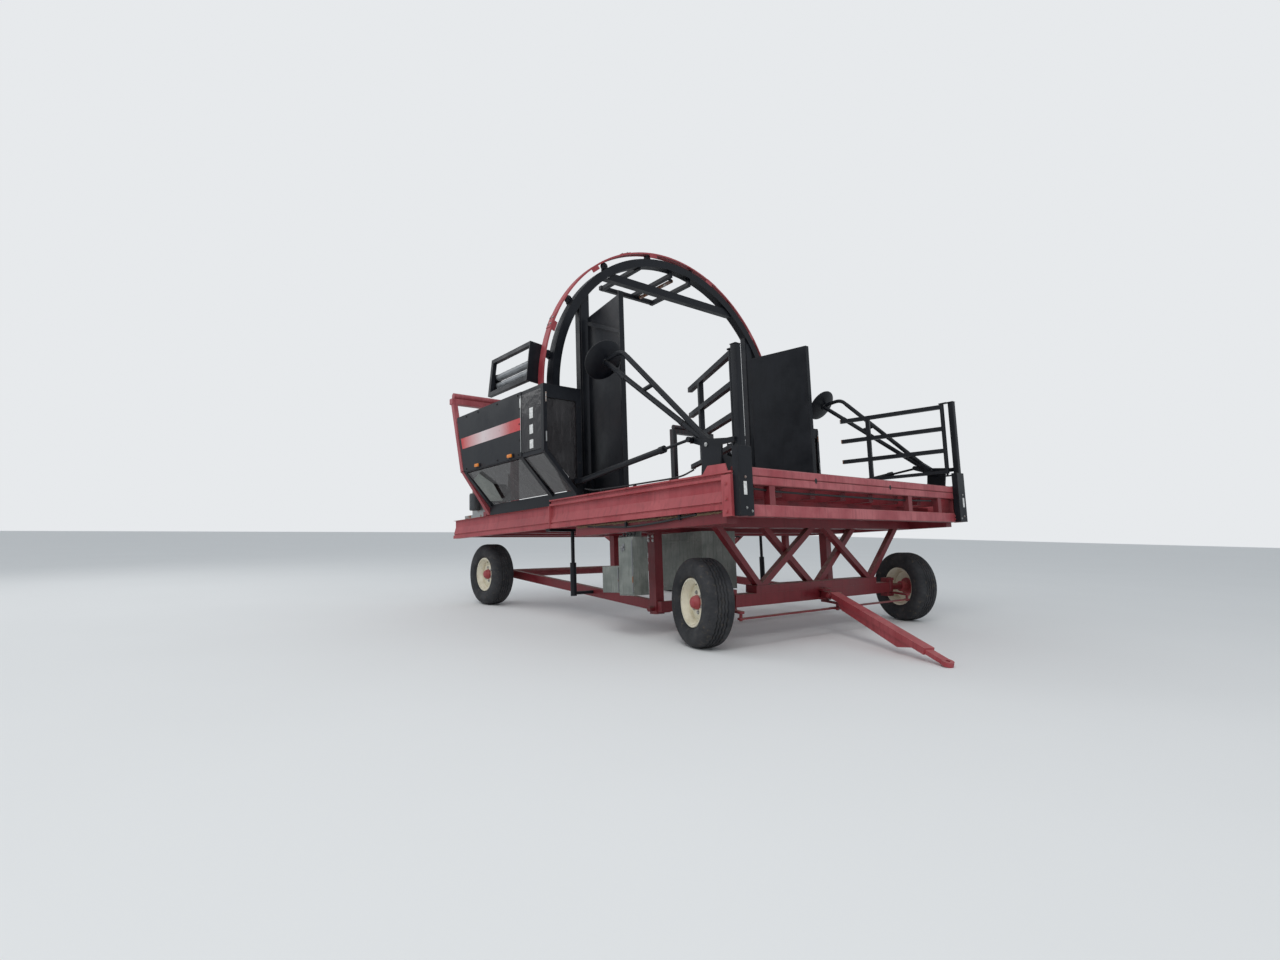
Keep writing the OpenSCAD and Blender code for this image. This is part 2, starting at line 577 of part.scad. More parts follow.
// Guide panel: a flared sheet with a folded front edge, two feet and a brace.
panel_front_x = 1700;
panel_rear_x = 2535;
panel_low = beam_top + 40;
module guide_panel(side) color(satin_black) on_deck() to_side(side) {
    a = [-panel_rear_x, -panel_rear_y];
    b = [-panel_front_x, -panel_front_y];
    translate([0, 0, panel_low]) linear_extrude(panel_top - panel_low)
        polygon([a, b, b + [0, -62], b + [-12, -62], b + [-12, -panel_t], a + [0, -panel_t]]);
    // share of the way to the rear edge and height of each foot's seat
    for (seat = [[0.08, rear_top + 20], [0.97, rear_top + 10]]) {
        foot = a * seat[0] + b * (1 - seat[0]);
        block([foot.x - 30, foot.y - 60, seat[1] + gap], [foot.x + 30, foot.y - 8, panel_low + 260]);
    }
    square_bar([a.x + 54, a.y - panel_t - 23, panel_top - 90], [b.x - 40, b.y - panel_t - 5, panel_top - 420], 32, 40);
}

// Guard over the ring at the deck's side: frame, black side panel and top band.
guard_front = 2100;
guard_mid = 2535;
guard_rear_top = 4050;
guard_rear_low = 3830;
guard_in = 1840;
guard_foot = rear_top + 125;
cyl_y = half_w - 35;                    // plane of the disc arm's cylinder
cyl_base_x = 2050;
cyl_base_z = 1590;
chamfer_beam_w = 62;
module guard_section(x, t, lower_w) {
    square_bar([x, -guard_y + t / 2, guard_top - t / 2], [x, -guard_y + t / 2, guard_knee - 6], t, t);
    square_bar([x, -guard_y + t / 2, guard_knee], [x, -half_w + t / 2, guard_foot - t / 2], lower_w, t);
}
module guard(side) color(satin_black) on_deck() to_side(side) {
    t = guard_tube;
    // black side panel with its slanted rear edge
    translate([0, -guard_y + sheet_t, 0]) rotate([90, 0, 0]) linear_extrude(sheet_t)
        polygon([[-guard_mid, guard_knee - 10], [-guard_mid, guard_top], [-guard_rear_top, guard_top],
            [-guard_rear_low, guard_knee - 10]]);
    // tubes along the top, the knee and the foot
    block([-guard_rear_top + 8, -guard_y + t, guard_top - t], [-guard_front, -guard_y + sheet_t - 1, guard_top - 1]);
    block([-guard_rear_low, -guard_y + t, guard_knee - t / 2], [-guard_front, -guard_y + sheet_t - 1, guard_knee + t / 2]);
    block([-3930, -half_w + 4, rear_top + gap], [-high_len - gap, -half_w + 56, guard_foot]);
    block([-high_len - 1, -half_w + 4, beam_top + gap], [-guard_front, -half_w + 56, guard_foot]);
    // sections at the front, the middle and the rear
    guard_section(-guard_front - t / 2, t, t - 2);
    guard_section(-guard_mid - t / 2, t, chamfer_beam_w);
    square_bar([-guard_rear_low - 20, -guard_y + t / 2, guard_knee], [-3905, -half_w + t / 2, guard_foot - t / 2], t, t);
    square_bar([-guard_rear_top + t / 2, -guard_y + t / 2, guard_top - t / 2],
        [-guard_rear_low - 20, -guard_y + t / 2, guard_knee], t, t);
    // front face: band, inner post and sill
    x0 = -guard_front - t + 3;
    x1 = -guard_front - 3;
    block([x0, -guard_y + 4, guard_top - 140], [x1, -guard_in, guard_top - 2]);
    block([x0, -guard_in - 60, guard_foot - 40], [x1, -guard_in, guard_top - 2]);
    block([x0, -half_w + 4, beam_top + gap], [x1, -guard_in, guard_foot + 10]);
    // clevis of the disc arm's cylinder
    for (s = [-1, 1])
        block([-guard_front - 10, -cyl_y + s * 36 - 6, cyl_base_z - 26],
            [-cyl_base_x + 26, -cyl_y + s * 36 + 6, cyl_base_z + 26]);
    block([-guard_front - 10, -cyl_y - 42, cyl_base_z - 26], [-guard_front + 8, -cyl_y + 42, cyl_base_z + 26]);
    pin_y([-cyl_base_x, -cyl_y, cyl_base_z], 12, 88);
}

// Clear windows in the guards' front faces and front bays, and the sloping skirts below.
module guard_windows() color(tinted) on_deck() for (side = [right, left]) to_side(side) {
    t = guard_tube;
    d = [guard_y - half_w, guard_knee - guard_foot];
    u = d / norm(d);
    n = [u.y, u.x] * sheet_t;
    beam_x = guard_mid + t / 2;
    beam_half = chamfer_beam_w / 2 + 4;
    low = [-half_w - 6 * u.x, guard_foot + 6 * u.y];
    high = [-guard_y + 40 * u.x, guard_knee - 40 * u.y];
    translate([-guard_front - t / 2 - sheet_t / 2, 0, 0]) rotate([90, 0, 90]) linear_extrude(sheet_t)
        polygon([[-guard_y + t + gap, guard_top - 140 - gap], [-guard_in - 60 - gap, guard_top - 140 - gap],
            [-guard_in - 60 - gap, guard_foot + 25], [-half_w - 40, guard_foot + 60 + t],
            [-guard_y + t + gap, guard_knee + t / 2 + 5]]);
    block([-guard_mid + 12, -guard_y + sheet_t, guard_knee + t / 2 + gap],
        [-guard_front - t - gap, -guard_y, guard_top - t - gap]);
    for (span = [[beam_x + beam_half, guard_rear_low - 10], [guard_front + t + gap, beam_x - beam_half]])
        translate([-span[1], 0, 0]) rotate([90, 0, 90]) linear_extrude(span[1] - span[0])
            polygon([low, high, high + n, low + n]);
}

// Rear towers: slanted outer post, short cross beam with a round bar on it, and the inner post.
tower_top = 2830;
tower_lean = (guard_rear_top - guard_rear_low) / (guard_top - guard_knee);
tower_x = -guard_rear_top - tower_lean * (tower_top - guard_top) - 60;
module rear_tower() color(steel_red) on_deck() for (side = [right, left]) to_side(side) {
    knee_x = -guard_rear_low - 88;
    square_bar([knee_x, -guard_y + 26, guard_knee], [tower_x, -guard_y + 26, tower_top - 10], 56, 60);
    square_bar([knee_x, -guard_y + 26, guard_knee + 10], [knee_x - 67, -half_w + 30, rear_top + 26], 50, 50);
    block([tower_x - 40, -guard_y - 10, tower_top - 70], [tower_x + 40, -portal_y + 40, tower_top]);
    block([tower_x - 40, -portal_y - 40, rear_top + gap], [tower_x + 40, -portal_y + 40, tower_top - 1]);
    block([tower_x - 40, -beam_in - 10, rear_top + gap], [tower_x + 40, -portal_y + 30, rear_top + 70]);
    round_bar([tower_x, -guard_y + 20, tower_top + 36], [tower_x, -portal_y, tower_top + 36], 38);
}

// Disc arm: two rods from the pivot to the disc with a tie between them, drawn lying rearwards.
lever = 200;
lever_turn = -17;       // lever's angle above the lower rod, in degrees
lever_angle = arm_rest + lever_turn;
tip_x = -arm_x - lever * cos(lever_angle);
tip_z = arm_z + lever * sin(lever_angle);
module disc_arm(side) color(satin_black) on_deck() to_side(side)
    translate([-arm_x, -arm_y, arm_z]) rotate([0, arm_rest, 0]) {
        difference() {
            union() {
                pin_y([0, 0, 0], 38, 56);
                block([-90, -20, -18], [0, 20, 40]);
            }
            pin_y([0, 0, 0], arm_pin_r + pin_gap, 70);
        }
        round_bar([-34, 0, 0], [-arm_len, 0, 0], rod_r);
        round_bar([-60, 0, 22], [-arm_len - 150, 0, 186], rod_r);
        round_bar([-arm_len * 0.6, 0, 0], [-arm_len * 0.6 + 30, 0, 108], rod_r - 3);
        // dished disc, hollow towards the pivot, on the lower rod's end
        translate([-arm_len, 0, 0]) rotate([0, 90, 0]) rotate_extrude()
            polygon([[0, -22], [56, -16], [disc_r - 22, 12], [disc_r, 30], [disc_r - 5, 36], [disc_r - 26, 20],
                [54, -4], [0, -8]]);
        translate([-arm_len + 380, 0, 0]) rotate([0, 90, 0]) cylinder(h = 50, r = rod_r + 9);
        // lever beside the cylinder's rod eye
        rotate([0, lever_turn, 0]) {
            translate([0, -15, 0]) rotate([90, 0, 0]) linear_extrude(12)
                polygon([[-20, -30], [-lever, -20], [-lever, 20], [-20, 30]]);
            pin_y([-lever, -21, 0], 26, 12);
        }
    }

// Cylinder that swings the disc arm: barrel on the guard's clevis and rod towards the lever.
barrel_len = 1270;
barrel_r = 27;
piston_r = 13;
function along_cylinder(s) = let(b = [-cyl_base_x, -cyl_y, cyl_base_z], e = [tip_x, -cyl_y, tip_z])
    b + (e - b) * s / norm(e - b);
cylinder_len = norm([tip_x + cyl_base_x, tip_z - cyl_base_z]);
module arm_barrel(side) color(satin_black) on_deck() to_side(side) difference() {
    union() {
        round_bar(along_cylinder(20), along_cylinder(barrel_len), barrel_r);
        round_bar(along_cylinder(barrel_len - 60), along_cylinder(barrel_len), barrel_r + 6);
        pin_y(along_cylinder(0), 24, 48);
    }
    pin_y(along_cylinder(0), 12 + pin_gap, 60);
    round_bar(along_cylinder(barrel_len - 260), along_cylinder(barrel_len + 1), piston_r + pin_gap);
}
module arm_piston(side) color(grey_steel) on_deck() to_side(side) {
    round_bar(along_cylinder(barrel_len - 150), along_cylinder(cylinder_len - 16), piston_r);
    pin_y(along_cylinder(cylinder_len), 24, 40);
}

// Engine and pump on the rear right corner of the deck, open to view.
module power_unit() color(grey_steel) on_deck() {
    block([-4860, -1810, rear_top + gap], [-4260, -1310, rear_top + 60]);
    block([-4780, -1740, rear_top + 59], [-4360, -1400, rear_top + 420]);
}

// Oil tank behind the front right wheel.
module oil_tank() color(grey_steel) on_deck()
    block([-1790, -1120, 460], [-1150, -640, beam_low - rail_h - gap]);

// Stepped tool boxes that hang from the right rail ahead of the leg.
box_out = 1910;
module tool_boxes() color(grey_steel) on_deck() {
    block([-1456, -box_out, 455], [-1245, -box_out + 175, 985]);
    block([-1712, -box_out, 478], [-1455, -box_out + 175, 725]);
    block([-1456, -box_out + 100, 984], [-1245, -box_out + 106, beam_low - rail_h - gap]);
}

side_beam(right);  // side_beam_right
side_beam(left);  // side_beam_left
front_frame();
corner_posts();
front_bed();
rear_bed();
under_frame();
front_axle();
knuckle(right);  // knuckle_right
knuckle(left);  // knuckle_left
tie_rod();
drawbar_plate();
tongue();
rear_axle();
lift_cylinders();
color(rubber) at_front_wheel(right) tyre_shape();  // tyre_front_right
color(rubber) at_front_wheel(left) tyre_shape();  // tyre_front_left
color(rubber) at_rear_wheel(right) tyre_shape();  // tyre_rear_right
color(rubber) at_rear_wheel(left) tyre_shape();  // tyre_rear_left
color(cream) at_front_wheel(right) rim_shape();  // rim_front_right
color(cream) at_front_wheel(left) rim_shape();  // rim_front_left
color(cream) at_rear_wheel(right) rim_shape();  // rim_rear_right
color(cream) at_rear_wheel(left) rim_shape();  // rim_rear_left
color(steel_red) at_front_wheel(right) hub_shape();  // hub_front_right
color(steel_red) at_front_wheel(left) hub_shape();  // hub_front_left
color(steel_red) at_rear_wheel(right) hub_shape();  // hub_rear_right
color(steel_red) at_rear_wheel(left) hub_shape();  // hub_rear_left
portal();
hoop();
ring();
film_unit(right);  // film_unit_right
film_unit(left);  // film_unit_left
guide_panel(right);  // guide_panel_right
guide_panel(left);  // guide_panel_left
gate(right);  // gate_right
gate(left);  // gate_left
disc_arm(right);  // disc_arm_right
disc_arm(left);  // disc_arm_left
arm_barrel(right);  // arm_barrel_right
arm_barrel(left);  // arm_barrel_left
arm_piston(right);  // arm_piston_right
arm_piston(left);  // arm_piston_left
guard(right);  // guard_right
guard(left);  // guard_left
guard_windows();
rear_tower();
power_unit();
oil_tank();
tool_boxes();
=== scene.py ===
"""Looks of the towed inline bale wrapper: finishes, tread, bolts, lamps, lines and small fittings round its frame.

Lengths are metres. A place given as deck (x, y, z) is in the machine's own frame: x forwards from the deck's front
face, y to its left, z square to the deck.
"""

import json
import math

import bmesh
import bpy
from mathutils import Matrix
import numpy as np


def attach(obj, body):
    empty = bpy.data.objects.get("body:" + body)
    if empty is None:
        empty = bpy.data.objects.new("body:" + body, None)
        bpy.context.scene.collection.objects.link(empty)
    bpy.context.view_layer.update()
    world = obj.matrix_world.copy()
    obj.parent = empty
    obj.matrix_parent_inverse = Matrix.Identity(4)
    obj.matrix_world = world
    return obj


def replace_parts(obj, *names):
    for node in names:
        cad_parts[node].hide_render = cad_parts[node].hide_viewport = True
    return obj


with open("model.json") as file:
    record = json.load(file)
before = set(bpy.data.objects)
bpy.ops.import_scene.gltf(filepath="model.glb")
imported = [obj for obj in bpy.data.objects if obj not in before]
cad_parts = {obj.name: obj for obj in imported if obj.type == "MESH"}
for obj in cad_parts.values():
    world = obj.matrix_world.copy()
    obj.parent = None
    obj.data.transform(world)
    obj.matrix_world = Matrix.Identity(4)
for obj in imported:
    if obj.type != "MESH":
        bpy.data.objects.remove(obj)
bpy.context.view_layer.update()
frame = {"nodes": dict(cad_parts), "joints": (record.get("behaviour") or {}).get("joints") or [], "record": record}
JOINTS = {joint["name"]: joint for joint in frame["joints"]}

# Deck frame, from the ring's axis
RING_X, RING_Z = 2.640, 2.690
FORE = np.array(JOINTS["ring_turn"]["axis"], float)
LEFT = np.array([0.0, 1.0, 0.0])
UP = np.cross(FORE, LEFT)
DECK_AT = np.array(JOINTS["ring_turn"]["pos_m"], float) + RING_X * FORE - RING_Z * UP
DECK_AXES = np.array([FORE, LEFT, UP])
SIDES = {"right": -1, "left": 1}

# Sizes that the fittings share with the frame
HALF_W = 1.930
BEAM_LOW, REAR_TOP = 1.140, 1.375
POST_OUT, POST_SIDE, POST_FACE = 1.870, 0.063, 0.066
POST_LOW, POST_HIGH = 1.083, 2.458
GUARD_Y, GUARD_TOP, GUARD_KNEE = 2.300, 2.560, 1.885
GUARD_FRONT, GUARD_MID, GUARD_REAR_TOP, GUARD_REAR_LOW = 2.100, 2.535, 4.050, 3.830
TYRE_R, TYRE_W, RIM_R = 0.385, 0.280, 0.213
RING_R = 1.995
GATE_PIN_X, GATE_PIN_Y = -0.060, 1.790
RAIL_TOPS = (2.438, 2.183, 1.928, 1.676)
ARM_PIN_X, ARM_PIN_Y, ARM_PIN_Z = -0.290, 1.838, 1.690
RED, DEEP, BLACK, STEEL, GREY, RUBBER, CREAM, CLEAR = (
    "faded_red", "deep_red", "black_paint", "bare_steel", "grey_metal", "tyre_rubber", "cream_paint", "clear_sheet")
rng = np.random.default_rng(11)


def deck(points):
    """World places of deck places: the deck's own axes, scaled by x, y and z, added to its origin."""
    return DECK_AT + np.asarray(points, float) @ DECK_AXES


# Shapes: each returns corners (n, 3) and faces

def grid_faces(rows, cols, wrap_rows=False, wrap_cols=False):
    """Faces of a grid of points, one for each cell between neighbouring rows and columns."""
    r = np.arange(rows if wrap_rows else rows - 1)
    c = np.arange(cols if wrap_cols else cols - 1)
    r, c = (a.ravel() for a in np.meshgrid(r, c, indexing="ij"))
    r2, c2 = (r + 1) % rows, (c + 1) % cols
    return np.stack([r * cols + c, r * cols + c2, r2 * cols + c2, r2 * cols + c], 1).tolist()


def round_faces(rows, sides):
    """Faces of rows of points that each go once round, with the first and the last row closed."""
    last = (rows - 1) * sides
    return grid_faces(rows, sides, wrap_cols=True) + [list(range(sides))[::-1], list(range(last, last + sides))]


def circle(sides):
    """Angles of a circle's corners, from X."""
    return np.linspace(0, 2 * np.pi, sides, endpoint=False)


def unit(direction):
    """The direction at a length of one."""
    direction = np.asarray(direction, float)
    return direction / np.linalg.norm(direction)


def soft_box(size, centre=(0, 0, 0), edge=0.003, steps=3):
    """Box with round edges: a small sphere whose eight octants are pulled apart to the box's corners."""
    half = np.asarray(size, float) / 2
    edge = min(edge, half.min() * 0.98)
    around = np.concatenate([np.linspace(0, np.pi / 2, steps) + k * np.pi / 2 for k in range(4)])
    over = np.concatenate([np.linspace(-np.pi / 2, 0, steps), np.linspace(0, np.pi / 2, steps)])
    o, a = np.meshgrid(over, around, indexing="ij")
    ball = np.stack([np.cos(o) * np.cos(a), np.cos(o) * np.sin(a), np.sin(o)], -1)
    quarter = np.repeat(np.arange(4), steps)
    sx = np.where((quarter == 0) | (quarter == 3), 1, -1)[None, :]
    sy = np.where(quarter < 2, 1, -1)[None, :]
    sz = np.repeat([-1, 1], steps)[:, None]
    signs = np.stack(np.broadcast_arrays(sx, sy, sz), -1)
    points = (signs * (half - edge) + edge * ball).reshape(-1, 3) + np.asarray(centre, float)
    return points, round_faces(len(over), len(around))


def turned(profile, sides=24):
    """Surface of revolution about Z: each profile point (radius, height) carried round a circle."""
    p = np.maximum(np.asarray(profile, float), [0.0008, -1e9])
    a = circle(sides)
    points = np.stack([p[:, :1] * np.cos(a), p[:, :1] * np.sin(a), np.broadcast_to(p[:, 1:], (len(p), sides))], -1)
    return points.reshape(-1, 3), round_faces(len(p), sides)


def hooped(profile, sides=96):
    """Closed ring about Z: a loop of points (radius, height) carried round a circle and joined to itself."""
    return turned(profile, sides)[0], grid_faces(len(profile), sides, True, True)


def bar(a, b, width, height, edge=0.005, up=(0, 0, 1)):
    """Straight bar with a soft rectangular section between two places."""
    a, b = np.asarray(a, float), np.asarray(b, float)
    box = soft_box((width, height, np.linalg.norm(b - a)), edge=edge)
    return stand(box, (a + b) / 2, b - a, up)


def smooth_path(points, steps=8):
    """Curve through the points: a cubic between each pair whose slopes come from the neighbours."""
    p = np.asarray(points, float)
    q = np.vstack([2 * p[0] - p[1], p, 2 * p[-1] - p[-2]])
    t = np.linspace(0, 1, steps, endpoint=False)[None, :, None]
    a, b, c, d = (q[k:len(q) - 3 + k, None, :] for k in range(4))
    curve = 0.5 * (2 * b + (c - a) * t + (2 * a - 5 * b + 4 * c - d) * t ** 2 + (3 * b - a - 3 * c + d) * t ** 3)
    return np.vstack([curve.reshape(-1, 3), p[-1]])


def tube(path, radius, sides=12):
    """Tube: a circle square to the path at each of its points, closed at both ends."""
    p = np.asarray(path, float)
    ahead = np.gradient(p, axis=0)
    ahead /= np.linalg.norm(ahead, axis=1, keepdims=True)
    side = np.cross(np.where(np.abs(ahead[:, 2:]) > 0.9, [[1.0, 0, 0]], [[0, 0, 1.0]]), ahead)
    side /= np.linalg.norm(side, axis=1, keepdims=True)
    up = np.cross(ahead, side)
    a = circle(sides)
    points = p[:, None] + radius * (np.cos(a)[:, None] * side[:, None] + np.sin(a)[:, None] * up[:, None])
    return points.reshape(-1, 3), round_faces(len(p), sides)


def plate(outline, thick):
    """Plate in the XY plane: the outline at two heights, joined round its edge."""
    o = np.asarray(outline, float)
    return np.vstack([np.c_[o, np.full(len(o), z)] for z in (0.0, thick)]), round_faces(2, len(o))


def stand(shape, at, up=(0, 0, 1), ahead=(1, 0, 0)):
    """Shape moved so that its Z points along up and its X leans towards ahead, with its origin at that place."""
    z = unit(up)
    y = np.cross(z, np.asarray(ahead, float))
    if np.linalg.norm(y) < 1e-6:
        y = np.cross(z, [0.3, 0.9, 0.2])
    y = unit(y)
    x = np.cross(y, z)
    return shape[0] @ np.array([x, y, z]) + np.asarray(at, float), shape[1]


def joined(shapes):
    """Several shapes as one: their corners stacked and their faces renumbered."""
    points, faces, start = [], [], 0
    for p, f in shapes:
        points.append(p)
        faces += [[i + start for i in face] for face in f]
        start += len(p)
    return np.vstack(points), faces


def linked(name, data):
    """Object in the scene, at the origin."""
    obj = bpy.data.objects.new(name, data)
    bpy.context.scene.collection.objects.link(obj)
    return obj


def piece(name, shape, body, slot, finish=None, smooth=True, on_deck=True):
    """Object from a shape, with its place in its mesh, riding on a body, in its slot's finish or one of its own."""
    points = deck(shape[0]) if on_deck else shape[0]
    mesh = bpy.data.meshes.new(name)
    mesh.from_pydata(np.asarray(points).tolist(), [], shape[1])
    mesh.validate()
    work = bmesh.new()
    work.from_mesh(mesh)
    bmesh.ops.recalc_face_normals(work, faces=work.faces)
    work.to_mesh(mesh)
    work.free()
    if smooth:
        mesh.shade_smooth()
        mesh.set_sharp_from_angle(angle=math.radians(50))
    mesh.materials.append(finish or MAT[slot])
    obj = linked(name, mesh)
    if smooth:
        obj.modifiers.new("even_shading", "WEIGHTED_NORMAL").keep_sharp = True
    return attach(obj, body)


# Shader node helpers and shared effects

def wire(tree, node, inputs):
    """Sets a node's inputs: each is a value or another node's socket."""
    for key, value in inputs.items():
        if isinstance(value, bpy.types.NodeSocket):
            tree.links.new(value, node.inputs[key])
        else:
            node.inputs[key].default_value = value


def add(tree, kind, inputs=None, **settings):
    """Shader node with its settings and inputs."""
    node = tree.nodes.new("ShaderNode" + kind)
    for key, value in settings.items():
        setattr(node, key, value)
    wire(tree, node, inputs or {})
    return node


def mixed(tree, factor, a, b):
    """Colour between a and b by the factor."""
    return add(tree, "Mix", {0: factor, 6: a, 7: b}, data_type="RGBA").outputs[2]


def spread(tree, value, low, high, to_low=0.0, to_high=1.0):
    """Value stretched from one range to another, and held within it."""
    ends = {"From Min": low, "From Max": high, "To Min": to_low, "To Max": to_high}
    return add(tree, "MapRange", {"Value": value, **ends}).outputs["Result"]


def times(tree, a, b):
    """Product of two values."""
    return add(tree, "Math", {0: a, 1: b}, operation="MULTIPLY").outputs[0]


def noise(tree, place, scale, detail, roughness=0.5):
    """Cloudy noise over the place."""
    inputs = {"Vector": place, "Scale": scale, "Detail": detail, "Roughness": roughness}
    return add(tree, "TexNoise", inputs).outputs["Fac"]


def bump(tree, height, strength, distance, **inputs):
    """Normal tilted by the slope of a height that is distance metres at one."""
    inputs = {"Height": height, "Strength": strength, "Distance": distance, **inputs}
    return add(tree, "Bump", inputs).outputs["Normal"]


def new_group(name, inputs, outputs):
    """Node group with named float inputs (and a vector called Place) and named float outputs."""
    group = bpy.data.node_groups.new(name, "ShaderNodeTree")
    group.interface.new_socket("Place", in_out="INPUT", socket_type="NodeSocketVector")
    for socket, value in inputs.items():
        group.interface.new_socket(socket, in_out="INPUT", socket_type="NodeSocketFloat").default_value = value
    for socket in outputs:
        group.interface.new_socket(socket, in_out="OUTPUT", socket_type="NodeSocketFloat")
    return group, group.nodes.new("NodeGroupInput"), group.nodes.new("NodeGroupOutput")


def weather_group():
    """Blotches, runs that hang down, fine grain, and dust on what faces up."""
    group, given, out = new_group("weather", {"Scale": 3.0}, ["Blotch", "Runs", "Grain", "Dust"])
    place, scale = given.outputs["Place"], given.outputs["Scale"]
    hung = add(group, "Mapping", {"Vector": place, "Scale": (9.0, 9.0, 0.8)}).outputs[0]
    facing = add(group, "SeparateXYZ", {0: add(group, "NewGeometry").outputs["Normal"]})
    level = spread(group, facing.outputs["Z"], 0.25, 0.9)
    wire(group, out, {
        "Blotch": spread(group, noise(group, place, scale, 7.0, 0.62), 0.38, 0.66),
        "Runs": spread(group, noise(group, hung, scale, 5.0, 0.6), 0.50, 0.72),
        "Grain": noise(group, place, 130.0, 3.0),
        "Dust": times(group, level, spread(group, noise(group, place, 14.0, 6.0, 0.7), 0.35, 0.62))})
    return group


def edge_group():
    """Worn edges: where a rounded normal leaves the flat one, broken up by noise."""
    group, given, out = new_group("edge_wear", {"Width": 0.006, "Breaks": 30.0}, ["Edge"])
    rounded = add(group, "Bevel", {"Radius": given.outputs["Width"]}, samples=4)
    flat = add(group, "NewGeometry").outputs["Normal"]
    same = add(group, "VectorMath", {0: rounded.outputs[0], 1: flat}, operation="DOT_PRODUCT").outputs["Value"]
    broken = noise(group, given.outputs["Place"], given.outputs["Breaks"], 6.0)
    wire(group, out, {"Edge": times(group, spread(group, same, 0.99, 0.86), spread(group, broken, 0.42, 0.60))})
    return group


WEATHER, EDGE = weather_group(), edge_group()


def blank_material(name):
    """New material with its node tree, its shader and the place on the object."""
    material = bpy.data.materials.new(name)
    material.use_nodes = True
    tree = material.node_tree
    return material, tree, tree.nodes["Principled BSDF"], add(tree, "TexCoord").outputs["Object"]


def painted(name, colour, chalk, bare, scale=3.0, chalky=0.7, worn=0.8, dusty=0.5, rough=(0.35, 0.65),
            dust=(0.30, 0.27, 0.21, 1), metallic=0.0, dents=0.15, sheen=0.5, left=None, recess_shade=None):
    """Weathered paint: chalked blotches and runs over the colour, bare edges, dust on what faces up.

    left is a second colour for what lies left of the middle, and recess_shade a darker colour, painted shade, for
    what lies just behind the deck's front face.
    """
    material, tree, shader, place = blank_material(name)
    marks = add(tree, "Group", {"Place": place, "Scale": scale}, node_tree=WEATHER).outputs
    edges = add(tree, "Group", {"Place": place}, node_tree=EDGE)
    base = mixed(tree, times(tree, marks["Blotch"], chalky), (*colour, 1), (*chalk, 1))
    # Painted shade: faces a few millimetres behind the deck's front face, such as recessed uprights, are darkened
    # towards recess_shade.
    if recess_shade:
        along = add(tree, "VectorMath", {0: place, 1: tuple(FORE)}, operation="DOT_PRODUCT").outputs["Value"]
        front = float(FORE @ deck((0, 0, 0)))
        base = mixed(tree, spread(tree, along, front - 0.003, front - 0.007, 0, 0.85), base, (*recess_shade, 1))
    if left:
        across = add(tree, "SeparateXYZ", {0: place}).outputs["Y"]
        base = mixed(tree, spread(tree, across, -0.01, 0.01), base, (*left, 1))
    base = mixed(tree, times(tree, marks["Runs"], chalky * 0.55), base, (*[c * 0.45 for c in colour], 1))
    base = mixed(tree, times(tree, edges.outputs["Edge"], worn), base, (*bare, 1))
    base = mixed(tree, times(tree, marks["Dust"], dusty), base, dust)
    gloss = spread(tree, marks["Blotch"], 0.0, 1.0, *rough)
    gloss = add(tree, "Math", {0: gloss, 1: times(tree, marks["Dust"], 0.3)}, operation="ADD").outputs[0]
    broad = bump(tree, marks["Blotch"], dents, 0.004)
    wire(tree, shader, {"Base Color": base, "Roughness": gloss, "Metallic": metallic, "Specular IOR Level": sheen,
                        "Normal": bump(tree, marks["Grain"], 0.12, 0.0006, Normal=broad)})
    return material


def plain_plastic(name, colour, rough, clear=0.0, glow=0.0, ribs=900.0):
    """Moulded plastic with a fine lens pattern, somewhat see-through where clear is above zero."""
    material, tree, shader, place = blank_material(name)
    tint = spread(tree, noise(tree, place, 45.0, 4.0), 0.35, 0.75)
    lens = add(tree, "TexVoronoi", {"Vector": place, "Scale": ribs}).outputs["Distance"]
    wire(tree, shader, {"Base Color": mixed(tree, tint, (*colour, 1), (*[c * 0.6 for c in colour], 1)),
                        "Roughness": rough, "Transmission Weight": clear, "Emission Strength": glow,
                        "Emission Color": (*colour, 1), "Normal": bump(tree, lens, 0.25, 0.0005)})
    return material


def rusty_steel(name, shine, rust_share, colour=(0.42, 0.42, 0.41)):
    """Bare steel with patches of rust that take away its metal look."""
    material, tree, shader, place = blank_material(name)
    marks = add(tree, "Group", {"Place": place, "Scale": 9.0}, node_tree=WEATHER).outputs
    rust = spread(tree, marks["Blotch"], 1 - rust_share, 1.15 - rust_share * 0.6)
    rust_tint = mixed(tree, marks["Grain"], (0.16, 0.055, 0.022, 1), (0.33, 0.13, 0.05, 1))
    wire(tree, shader, {"Base Color": mixed(tree, rust, (*colour, 1), rust_tint),
                        "Metallic": spread(tree, rust, 0, 1, 0.95, 0.1),
                        "Roughness": spread(tree, rust, 0, 1, shine, 0.85),
                        "Normal": bump(tree, marks["Blotch"], 0.3, 0.001)})
    return material


def tyre_material():
    """Aged rubber: grey bloom, patches of dried mud and fine cracks."""
    material, tree, shader, place = blank_material("aged_rubber")
    weather = add(tree, "Group", {"Place": place, "Scale": 7.0}, node_tree=WEATHER)
    base = mixed(tree, weather.outputs["Blotch"], (0.014, 0.015, 0.018, 1), (0.040, 0.040, 0.043, 1))
    mud = spread(tree, noise(tree, place, 22.0, 8.0, 0.7), 0.56, 0.70, 0.0, 0.55)
    cracks = add(tree, "TexVoronoi", {"Vector": place, "Scale": 160.0}, feature="DISTANCE_TO_EDGE")
    wire(tree, shader, {"Base Color": mixed(tree, mud, base, (0.13, 0.10, 0.065, 1)), "Roughness": 0.82,
                        "Normal": bump(tree, cracks.outputs["Distance"], 0.2, 0.001)})
    return material


